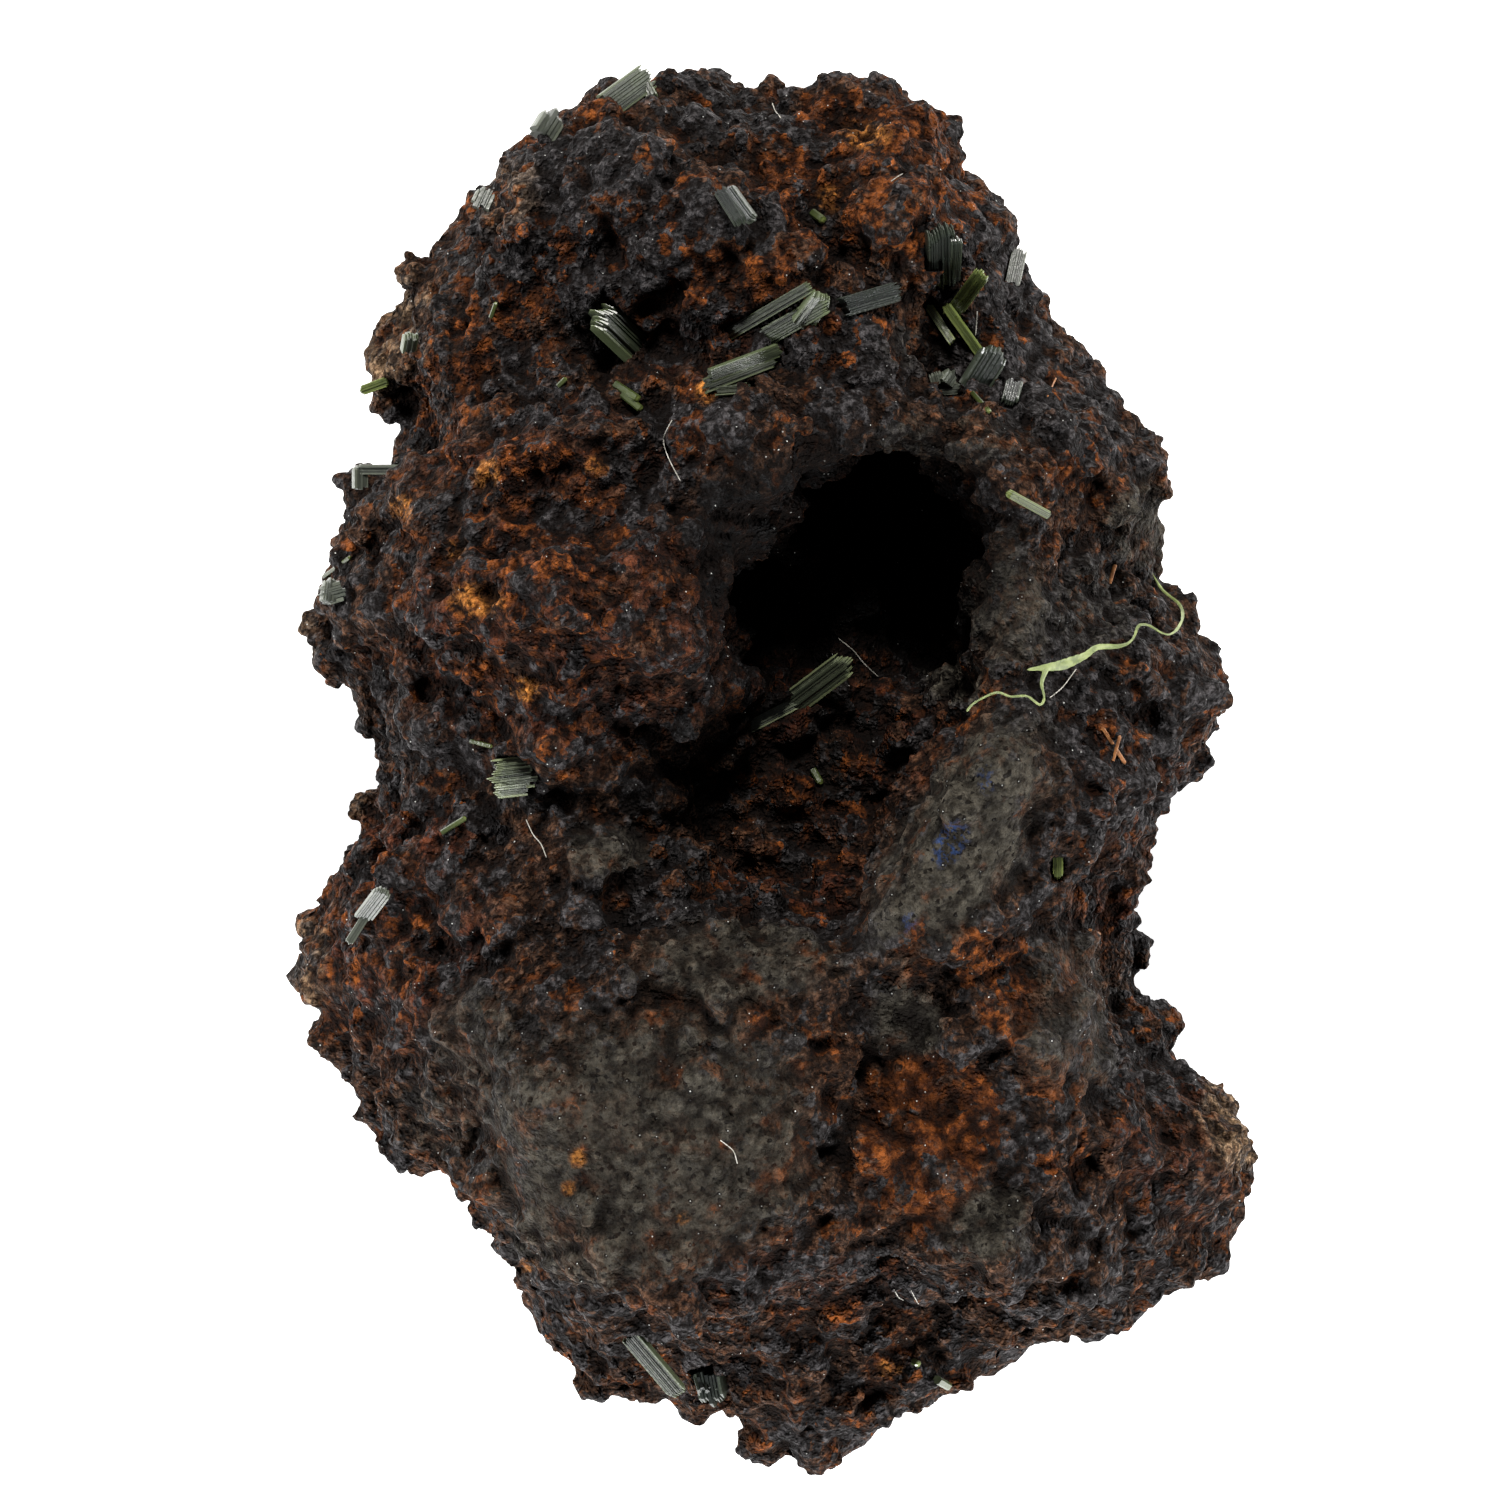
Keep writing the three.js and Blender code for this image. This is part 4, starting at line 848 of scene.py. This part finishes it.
# The laths of each crystal node: from x, y to x, y, width, thickness, number of strands, roll in degrees
LATHS = {
    "trough_prism": [(-7.7, 24.7, -10.8, 27.6, 1.9, 1.5, 6, 25)],
    "trough_lath": [(-3.9, 25.4, 2.3, 28.9, 0.75, 0.5, 4, 0)],
    "trough_blade": [(-1.2, 25.5, 3.2, 27.9, 1.2, 0.6, 5, 0), (1.6, 26.6, 3.1, 28.6, 1.3, 0.9, 4, 30)],
    "trough_bar": [(4.1, 27.6, 7.7, 28.7, 1.2, 0.9, 6, 0)],
    "trough_bundle": [
        (-4.1, 22.9, 0.2, 24.6, 0.9, 0.6, 4, 0),
        (-3.9, 23.5, 0.5, 25.2, 0.8, 0.5, 4, 20),
        (-3.6, 22.6, -1.2, 22.8, 0.7, 0.6, 3, -15),
    ],
    "cleft_prism": [(10.0, 29.4, 9.9, 32.6, 1.7, 1.2, 6, 15), (10.8, 29.5, 10.9, 31.8, 0.7, 0.5, 3, 15)],
    "ledge_paddle": [(10.6, 27.2, 12.6, 29.9, 1.0, 0.5, 4, 0), (12.3, 25.1, 10.2, 28.0, 0.6, 0.5, 3, 0)],
    "ledge_needle": [(10.7, 25.7, 9.2, 28.0, 0.5, 0.5, 3, 0)],
    "ledge_plate": [(11.9, 22.9, 13.5, 25.5, 1.9, 0.7, 4, 30)],
    "ledge_cluster": [
        (9.9, 23.1, 9.6, 24.1, 0.9, 0.8, 3, 0),
        (10.2, 23.1, 10.8, 24.0, 0.9, 0.7, 3, 20),
        (9.8, 22.8, 11.3, 22.9, 0.7, 0.5, 3, 0),
    ],
    "ledge_patch": [(14.4, 23.2, 14.0, 21.7, 1.0, 0.6, 4, 0)],
    "vug_blade": [(1.0, 3.9, 4.7, 6.7, 1.6, 0.6, 7, 12), (-3.3, 1.6, 1.7, 4.2, 0.75, 0.5, 4, 0)],
    "bulge_block": [(-14.6, -0.1, -17.2, -0.4, 1.9, 1.0, 8, 0), (-15.0, -1.1, -16.8, -1.3, 0.9, 0.9, 4, 0)],
    "left_tab": [(-24.6, -8.8, -23.2, -7.0, 1.1, 0.5, 4, 20), (-24.2, -8.3, -25.6, -10.5, 0.5, 0.4, 3, 0)],
    "lower_prism": [(-8.6, -34.0, -5.5, -37.7, 1.1, 0.9, 6, 20)],
    "lower_lump": [(-3.9, -36.4, -3.5, -38.6, 1.7, 1.4, 4, 20), (-4.0, -37.6, -4.4, -36.2, 1.2, 1.1, 3, 0)],
    "tip_plate": [(-10.1, 39.9, -7.3, 42.1, 1.7, 0.5, 5, 8), (-7.8, 41.4, -7.2, 40.3, 0.7, 0.6, 2, 0)],
    "rim_lump_upper": [(-14.1, 38.0, -13.0, 39.8, 1.6, 1.1, 3, 20)],
    "rim_lump_lower": [(-17.8, 33.9, -17.2, 35.2, 1.2, 0.9, 3, 0)],
    "left_plate": [(-25.0, 17.0, -25.0, 18.5, 0.9, 0.6, 3, 20), (-25.0, 18.1, -21.9, 18.1, 0.6, 0.5, 3, 0)],
    "left_glassy": [(-25.9, 10.8, -27.6, 10.3, 1.2, 0.9, 3, 0), (-26.8, 10.1, -26.6, 11.6, 1.0, 0.8, 3, 25)],
    "arm_streak": [(-23.5, 23.5, -25.2, 22.9, 0.6, 0.5, 3, 0)],
    "arm_crystal": [(-22.0, 25.3, -21.8, 26.4, 0.9, 0.8, 3, 20)],
    "head_knob": [(14.3, 28.9, 14.9, 31.6, 0.9, 0.8, 4, 0)],
    "head_bundle": [(-3.2, 34.5, -1.9, 32.4, 0.8, 0.6, 4, 0), (-2.6, 34.6, -1.2, 32.6, 0.7, 0.6, 4, 25)],
    "brow_needle": [(16.3, 15.2, 13.8, 16.5, 0.5, 0.45, 3, 0)],
    "right_stub": [(16.9, -4.9, 16.9, -6.6, 0.6, 0.55, 3, 0)],
}
# Crystals that aren't plain olive green
LOOKS = {
    "pale": [
        "rim_lump_upper",
        "rim_lump_lower",
        "left_tab",
        "left_glassy",
        "ledge_cluster",
        "head_knob",
        "left_plate",
    ],
    "bright": ["ledge_paddle", "ledge_needle", "arm_streak", "brow_needle", "right_stub"],
    # Grey-green olivenite, made lighter as painted light, above all for the vug blade in the shaded recess
    "grey": ["vug_blade", "bulge_block"],
    "dark": ["cleft_prism", "ledge_plate", "head_bundle", "lower_lump", "trough_bar", "ledge_patch"],
}
STRANDS_PER_RIDGE = 2
FOOT_SHARE = 0.18  # how much of a crystal's length may lie in the rock
CLEARANCE = 0.12
CLEAR_HEIGHT = 3.0
PAST_TIP = 1.05  # how far along a crystal the rock is kept off it, as a share of its length
# A strand's section: a rectangle with its corners cut
QUARTER = [(1, 0.5), (0.6, 1), (-0.6, 1), (-1, 0.5)]
STRAND_SECTION = np.array(QUARTER + [(-x, -y) for x, y in QUARTER])
STRAND_SIDES = len(STRAND_SECTION)


def node_top(node):
    """A function for the height of a CAD node over a place, and the node's lowest and highest point."""
    data = NODES[node].data
    points, _, faces = read_mesh(data)
    tree = BVHTree.FromPolygons((points / MM).tolist(), faces.tolist())

    def height(x, y):
        hit = tree.ray_cast(Vector((x, y, ABOVE_ALL)), Vector((0, 0, -1)))[0]
        if hit is None:
            hit = tree.find_nearest(Vector((x, y, (points[:, 2] / MM).mean())))[0]
        return hit.z

    low, high = points[:, 2].min() / MM, points[:, 2].max() / MM
    return height, low, high


PROBES = (0.3, 0.7)  # where along a lath its height is read


def lath_ends(lath, top):
    """The ends of a lath's middle line, from the height of its CAD node a third in from each end."""
    height, lowest, highest = top
    x0, y0, x1, y1, _, thick = lath[:6]
    low, high = PROBES
    near = height(x0 + low * (x1 - x0), y0 + low * (y1 - y0))
    far = height(x0 + high * (x1 - x0), y0 + high * (y1 - y0))
    rise = (far - near) / (high - low)
    z0 = near - low * rise - thick / 2
    heights = np.clip([z0, z0 + rise], lowest + thick / 2, highest - thick / 2)
    return np.array([x0, y0, heights[0]]), np.array([x1, y1, heights[1]])


def lath_axes():
    """The middle line, width and thickness of every lath."""
    axes = []
    for node, laths in LATHS.items():
        top = node_top(node)
        axes += [(*lath_ends(lath, top), lath[4], lath[5]) for lath in laths]
    return axes


LATH_AXES = lath_axes()


TIP_LEFT = 0.35  # what is left of a strand's section at its tip
LONGEST_TIP = 0.4
# Paler tint and painted highlight along a strand
RING_TINT_AND_HIGHLIGHT = [0.0, 0.1, 0.6]  # how light a strand is at its foot, before its tip and at its tip


def strand_body(start, end, across, through, half_width, half_thick, taper):
    """One long prism with a tapered tip, and its facts at each point."""
    ring = half_width * STRAND_SECTION[:, :1] * across + half_thick * STRAND_SECTION[:, 1:] * through
    along = end - start
    tip = min(taper, LONGEST_TIP * np.linalg.norm(along)) * along / np.linalg.norm(along)
    rings = [start + ring, end - tip + ring, end + TIP_LEFT * ring]
    points = np.vstack(rings)
    faces = []
    for level in (0, 1):
        for side in range(STRAND_SIDES):
            a = level * STRAND_SIDES + side
            b = level * STRAND_SIDES + (side + 1) % STRAND_SIDES
            faces += [(a, b, b + STRAND_SIDES), (a, b + STRAND_SIDES, a + STRAND_SIDES)]
    last = 2 * STRAND_SIDES
    for side in range(1, STRAND_SIDES - 1):
        faces += [(0, side + 1, side), (last, last + side, last + side + 1)]
    edge_tint_and_highlight = np.repeat(RING_TINT_AND_HIGHLIGHT, STRAND_SIDES)
    return points, np.array(faces), edge_tint_and_highlight


# How uneven the strands of a lath are, most of it in shares of its width or thickness
STRAND_WIDTHS = (0.4, 1.6)
STRAND_OVERLAP = 0.6
STRAND_LEVELS = (-0.1, 0.1)
STRAND_STARTS = (-0.15, 0.15)
STRAND_ENDS = (0, 0.3)
STRAND_SLOPE = 0.5  # how much shorter they get towards the sides
STRAND_THICKNESS = (0.85, 1.05)
STRAND_ROUNDING = 1.2  # how much thinner they get there
STRAND_TIP = 0.2
# The two outer strands get a paler tint and a painted highlight
SIDE_TINT_AND_HIGHLIGHT = 0.5  # how light the two outer strands are


def lath_bodies(lath, ends, rng):
    """A lath as a bundle of strands of uneven width, side by side."""
    width, thick, strands, roll = lath[4:]
    strands *= STRANDS_PER_RIDGE
    start, end = ends
    along = (end - start) / np.linalg.norm(end - start)
    flat = np.cross([0, 0, 1], along)
    flat /= np.linalg.norm(flat)
    up = np.cross(along, flat)
    angle = math.radians(roll)
    across = flat * math.cos(angle) + up * math.sin(angle)
    through = up * math.cos(angle) - flat * math.sin(angle)
    parts = rng.uniform(*STRAND_WIDTHS, strands)
    sides = np.concatenate([[0], np.cumsum(parts)]) / parts.sum() - 0.5
    bodies = []
    for n in range(strands):
        middle = (sides[n] + sides[n + 1]) / 2
        half_width = STRAND_OVERLAP * width * (sides[n + 1] - sides[n])
        offset = across * middle * width + through * rng.uniform(*STRAND_LEVELS) * thick
        first = start + offset - along * rng.uniform(*STRAND_STARTS) * width
        last = end + offset - along * (rng.uniform(*STRAND_ENDS) + STRAND_SLOPE * abs(middle)) * width
        half_thick = 0.5 * thick * rng.uniform(*STRAND_THICKNESS) * (1 - STRAND_ROUNDING * middle * middle)
        tip = STRAND_TIP * width
        points, faces, edge_tint_and_highlight = strand_body(first, last, across, through, half_width, half_thick, tip)
        side_tint_and_highlight = SIDE_TINT_AND_HIGHLIGHT if n in (0, strands - 1) else 0.0
        bodies.append((points, faces, np.maximum(edge_tint_and_highlight, side_tint_and_highlight), np.full(len(points), rng.random())))
    return bodies


def add_bodies(name, bodies, material):
    """Bodies of points, faces, edge and strand facts as one piece."""
    points, faces = together(*[(body[0], body[1]) for body in bodies])
    facts = {
        "edge_tint_and_highlight": np.concatenate([body[2] for body in bodies]),
        "strand": np.concatenate([body[3] for body in bodies]),
    }
    return add_piece(name, points, faces, material, facts, smooth=False)


def make_crystals(materials):
    """Each crystal node as bundles of strands, in place of its solid."""
    rng = np.random.default_rng(STRAND_SEED)
    look_of = {node: look for look, named in LOOKS.items() for node in named}
    for node, laths in LATHS.items():
        top = node_top(node)
        bodies = [body for lath in laths for body in lath_bodies(lath, lath_ends(lath, top), rng)]
        piece = add_bodies(node + "_crystals", bodies, materials[look_of.get(node, "olive")])
        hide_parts(node)


# How far the fibre's sides lie inside the CAD strand, in millimetres
FIBRE_THINNING = 0.06
FIBRE_UNEVENNESS = 0.05
FIBRE_WAVE = 1.1
FIBRE_SEED = 31
FIBRE_WELD = 0.01
FIBRE_LEVELS = 2


def make_fibre(material):
    """The curly fibre: the CAD strand, rounded by subdivision and unevenly thin."""
    piece = new_object("curly_fibre", NODES["green_fibre"].data.copy())
    piece.data.materials.clear()
    piece.data.materials.append(material)
    weld = piece.modifiers.new("weld", "WELD")
    weld.merge_threshold = FIBRE_WELD * MM
    rounding = piece.modifiers.new("rounding", "SUBSURF")
    rounding.levels = FIBRE_LEVELS
    rounding.render_levels = FIBRE_LEVELS
    evaluated = piece.evaluated_get(bpy.context.evaluated_depsgraph_get())
    finished = bpy.data.meshes.new_from_object(evaluated)
    piece.modifiers.clear()
    points, normals, _ = read_mesh(finished)
    inward = FIBRE_THINNING + FIBRE_UNEVENNESS * noise(points / MM, FIBRE_WAVE, FIBRE_SEED)
    points -= normals * (inward * MM)[:, None]
    finished.vertices.foreach_set("co", points.astype(np.float32).ravel())
    piece.data = finished
    piece.data.shade_smooth()
    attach(piece, "root")
    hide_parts("green_fibre")


# White lint: points x, y along each hair
LINT = [
    [(3.9, 7.9), (4.8, 7.2), (5.4, 6.4), (6.3, 5.6)],
    [(-6.1, 20.8), (-6.7, 19.7), (-6.3, 18.5), (-5.6, 17.2)],
    [(-14.8, -3.0), (-14.4, -3.9), (-13.9, -4.4), (-13.6, -5.2)],
    [(7.2, -31.2), (7.5, -31.8), (7.8, -32.0)],
    [(8.2, -31.2), (8.5, -31.8), (8.7, -32.2)],
    [(16.4, 4.3), (17.2, 4.9), (18.0, 6.0)],
    [(-0.1, 40.3), (0.1, 39.7), (0.4, 39.2)],
    [(7.0, 35.2), (7.7, 35.7)],
    [(12.2, 27.5), (12.1, 26.1)],
    [(-3.2, -22.0), (-2.4, -22.6), (-2.2, -23.4)],
]
LINT_RADIUS = 0.03
LINT_LIFT = 0.08
# Splinters: from x, y to x, y, radius
SPLINTERS = [
    (19.6, 2.4, 20.9, 0.4, 0.13),
    (20.2, 0.6, 20.6, 2.0, 0.10),
    (18.9, -9.6, 19.6, -9.9, 0.10),
    (20.2, 11.3, 20.5, 12.3, 0.13),
    (16.4, 22.4, 17.0, 23.6, 0.05),
]
# Small green needles: from x, y to x, y, radius
NEEDLES = [
    (-18.1, 1.7, -16.9, 1.4, 0.13),
    (-19.8, -3.7, -18.5, -2.9, 0.16),
    (-27.2, 11.7, -25.6, 12.8, 0.13),
    (-17.0, 27.2, -16.7, 28.0, 0.13),
    (11.9, 22.5, 12.8, 21.4, 0.15),
    (9.9, -36.9, 10.5, -37.3, 0.25),
    (2.4, 33.3, 2.9, 32.9, 0.25),
    (2.4, -0.1, 2.8, -0.8, 0.2),
    (-12.9, 23.0, -12.5, 23.4, 0.16),
    (8.5, -35.8, 8.7, -35.9, 0.2),
    (-9.4, 23.0, -8.2, 22.2, 0.25),
    (-9.0, 22.4, -8.0, 21.6, 0.22),
]


FOOT_RISE, TIP_RISE = 0.5, 2.0  # how far they stand over the rock, in their radii
NO_ROCK = 18.0  # the height beside the rock


def rock_top(pieces):
    """Gives the height of the finished rock over a place, in millimetres."""
    graph = bpy.context.evaluated_depsgraph_get()
    trees = [BVHTree.FromObject(piece, graph) for piece in pieces]

    def height(x, y):
        start = Vector((x * MM, y * MM, ABOVE_ALL * MM))
        hits = [tree.ray_cast(start, Vector((0, 0, -1)))[0] for tree in trees]
        heights = [hit.z for hit in hits if hit is not None]
        return max(heights) / MM if heights else NO_ROCK

    return height


HAIR_TIP = 0.1
HAIR_OVERLAP = 0.5  # how far its prisms reach into each other, in their radii


def hair_bodies(points, radius):
    """A thin tube through points, as short prisms."""
    bodies = []
    for start, end in zip(points[:-1], points[1:]):
        along = (end - start) / np.linalg.norm(end - start)
        across = np.cross([0, 0, 1.0], along)
        across /= max(np.linalg.norm(across), 1e-6)
        through = np.cross(along, across)
        reach = along * radius * HAIR_OVERLAP
        ends = start - reach, end + reach
        body = strand_body(*ends, across, through, radius, radius, HAIR_TIP)
        bodies.append((*body, np.zeros(len(body[0]))))
    return bodies


POINTS_PER_STEP = 5
ROUNDS_ASIDE = 3
ROUNDS_UP = 6


def curve_through(places, height, lift):
    """A smooth line of points over the rock through places of x and y."""
    places = np.array(places)
    steps = np.linspace(0, len(places) - 1, POINTS_PER_STEP * (len(places) - 1) + 1)
    x = np.interp(steps, np.arange(len(places)), places[:, 0])
    y = np.interp(steps, np.arange(len(places)), places[:, 1])
    for _ in range(ROUNDS_ASIDE):
        x[1:-1] = (x[:-2] + 2 * x[1:-1] + x[2:]) / 4
        y[1:-1] = (y[:-2] + 2 * y[1:-1] + y[2:]) / 4
    z = np.array([height(a, b) for a, b in zip(x, y)])
    for _ in range(ROUNDS_UP):
        z[1:-1] = np.maximum(z[1:-1], (z[:-2] + z[2:]) / 2)
    return np.stack([x, y, z + lift], 1)


def make_small_things(pieces, materials):
    """The lint, the splinters and the smallest needles, each kind as one piece."""
    height = rock_top(pieces)
    lint = []
    for places in LINT:
        lint += hair_bodies(curve_through(places, height, LINT_LIFT), LINT_RADIUS)
    add_bodies("pale_lint", lint, materials["lint"])
    for name, rows, look in (("splinters", SPLINTERS, "splinter"), ("needles", NEEDLES, "bright")):
        bodies = []
        for x0, y0, x1, y1, radius in rows:
            start = np.array([x0, y0, height(x0, y0) + FOOT_RISE * radius])
            end = np.array([x1, y1, height(x1, y1) + TIP_RISE * radius])
            bodies += hair_bodies(np.stack([start, end]), radius)
        add_bodies(name, bodies, materials[look])


# The picture: the camera looks straight down from far away
SILHOUETTE_HEIGHT = 16
FRAME_WIDTH = 90.9
LENS = 400
SENSOR = 36
CAMERA_PLACE = (-1.45, 1.18)
CLIP_END = 10


def make_camera():
    """A camera with a long lens, straight above the specimen."""
    data = bpy.data.cameras.new("camera")
    data.lens = LENS
    data.sensor_width = SENSOR
    data.clip_end = CLIP_END
    camera = new_object("camera", data)
    distance = FRAME_WIDTH * LENS / SENSOR
    camera.location = Vector((*CAMERA_PLACE, SILHOUETTE_HEIGHT + distance)) * MM
    bpy.context.scene.camera = camera


FLOOR_HALF = 1.5
FLOOR_DROP = 0.00005  # metres below the stone, so that the two don't touch
FLOOR_GLOW = 0.7


def make_floor():
    corners = np.array([(-1, -1, 0), (1, -1, 0), (1, 1, 0), (-1, 1, 0)]) * FLOOR_HALF
    mesh = new_mesh("floor", corners - (0, 0, FLOOR_DROP), np.array([[0, 1, 2, 3]]))
    nodes = Nodes("floor")
    tone = nodes.mix(nodes.noise(60, 2), (0.90, 0.90, 0.90), (0.93, 0.93, 0.93))
    nodes.surface("Base Color", tone)
    nodes.shader.inputs["Roughness"].default_value = 0.7
    nodes.shader.inputs["Emission Color"].default_value = (1, 1, 1, 1)
    nodes.shader.inputs["Emission Strength"].default_value = FLOOR_GLOW
    mesh.materials.append(nodes.material)
    new_object("floor", mesh)


SKY_COLOUR = (0.95, 0.97, 1.0, 1)
SKY_STRENGTH = 0.07
WHITE = (1, 1, 1)
# The lamps: name, place and size in metres, power in watts, colour
LAMPS = [
    ("key", (0.02, 0.34, 0.36), 0.10, 3.4, (1.0, 0.97, 0.93)),
    ("left", (-0.45, 0.06, 0.18), 0.15, 2.8, WHITE),
    ("right", (0.45, 0.0, 0.16), 0.15, 2.3, WHITE),
    ("low", (0.0, -0.45, 0.20), 0.15, 4.2, WHITE),
]
AIM = (0, 0, 0.02)


def add_light(name, place, size, power, colour):
    """A square lamp that points at the specimen."""
    data = bpy.data.lights.new(name, "AREA")
    data.size = size
    data.energy = power
    data.color = colour
    lamp = new_object(name, data)
    lamp.location = place
    aim = Vector(AIM) - Vector(place)
    lamp.rotation_euler = aim.to_track_quat("-Z", "Y").to_euler()


def make_light():
    world = bpy.data.worlds.new("studio")
    world.use_nodes = True
    background = world.node_tree.nodes["Background"]
    background.inputs["Color"].default_value = SKY_COLOUR
    background.inputs["Strength"].default_value = SKY_STRENGTH
    bpy.context.scene.world = world
    for lamp in LAMPS:
        add_light(*lamp)


def make_picture():
    scene = bpy.context.scene
    scene.view_settings.view_transform = "Standard"
    scene.view_settings.look = "None"
    scene.view_settings.exposure = 0
    make_camera()
    make_floor()
    make_light()


def make_specimen():
    """All pieces of the specimen, in their materials."""
    materials = {
        "olive": crystal_material("olivenite", OLIVE, 0.32, 0.1),
        "dark": crystal_material("dark_olivenite", DARK_OLIVE, 0.2, 0.0),
        "grey": crystal_material("lit_grey_olivenite", LIT_GREY_OLIVE, 0.3, 0.1),
        "bright": crystal_material("bright_olivenite", BRIGHT_OLIVE, 0.2, 0.15),
        "pale": crystal_material("pale_crystal", PALE, 0.3, 0.3),
        "lint": plain_material("lint", (0.26, 0.25, 0.21), (0.44, 0.42, 0.38), 0.5, 0.7),
        "splinter": plain_material("splinter", (0.30, 0.12, 0.035), (0.15, 0.055, 0.015), 0.6, 0.6),
        "fibre": plain_material("green_fibre", (0.10, 0.13, 0.04), (0.20, 0.24, 0.085), 0.7, 0.5),
    }
    pieces = make_rock(rock_material())
    make_crystals(materials)
    make_fibre(materials["fibre"])
    make_small_things(pieces, materials)


make_specimen()
make_picture()
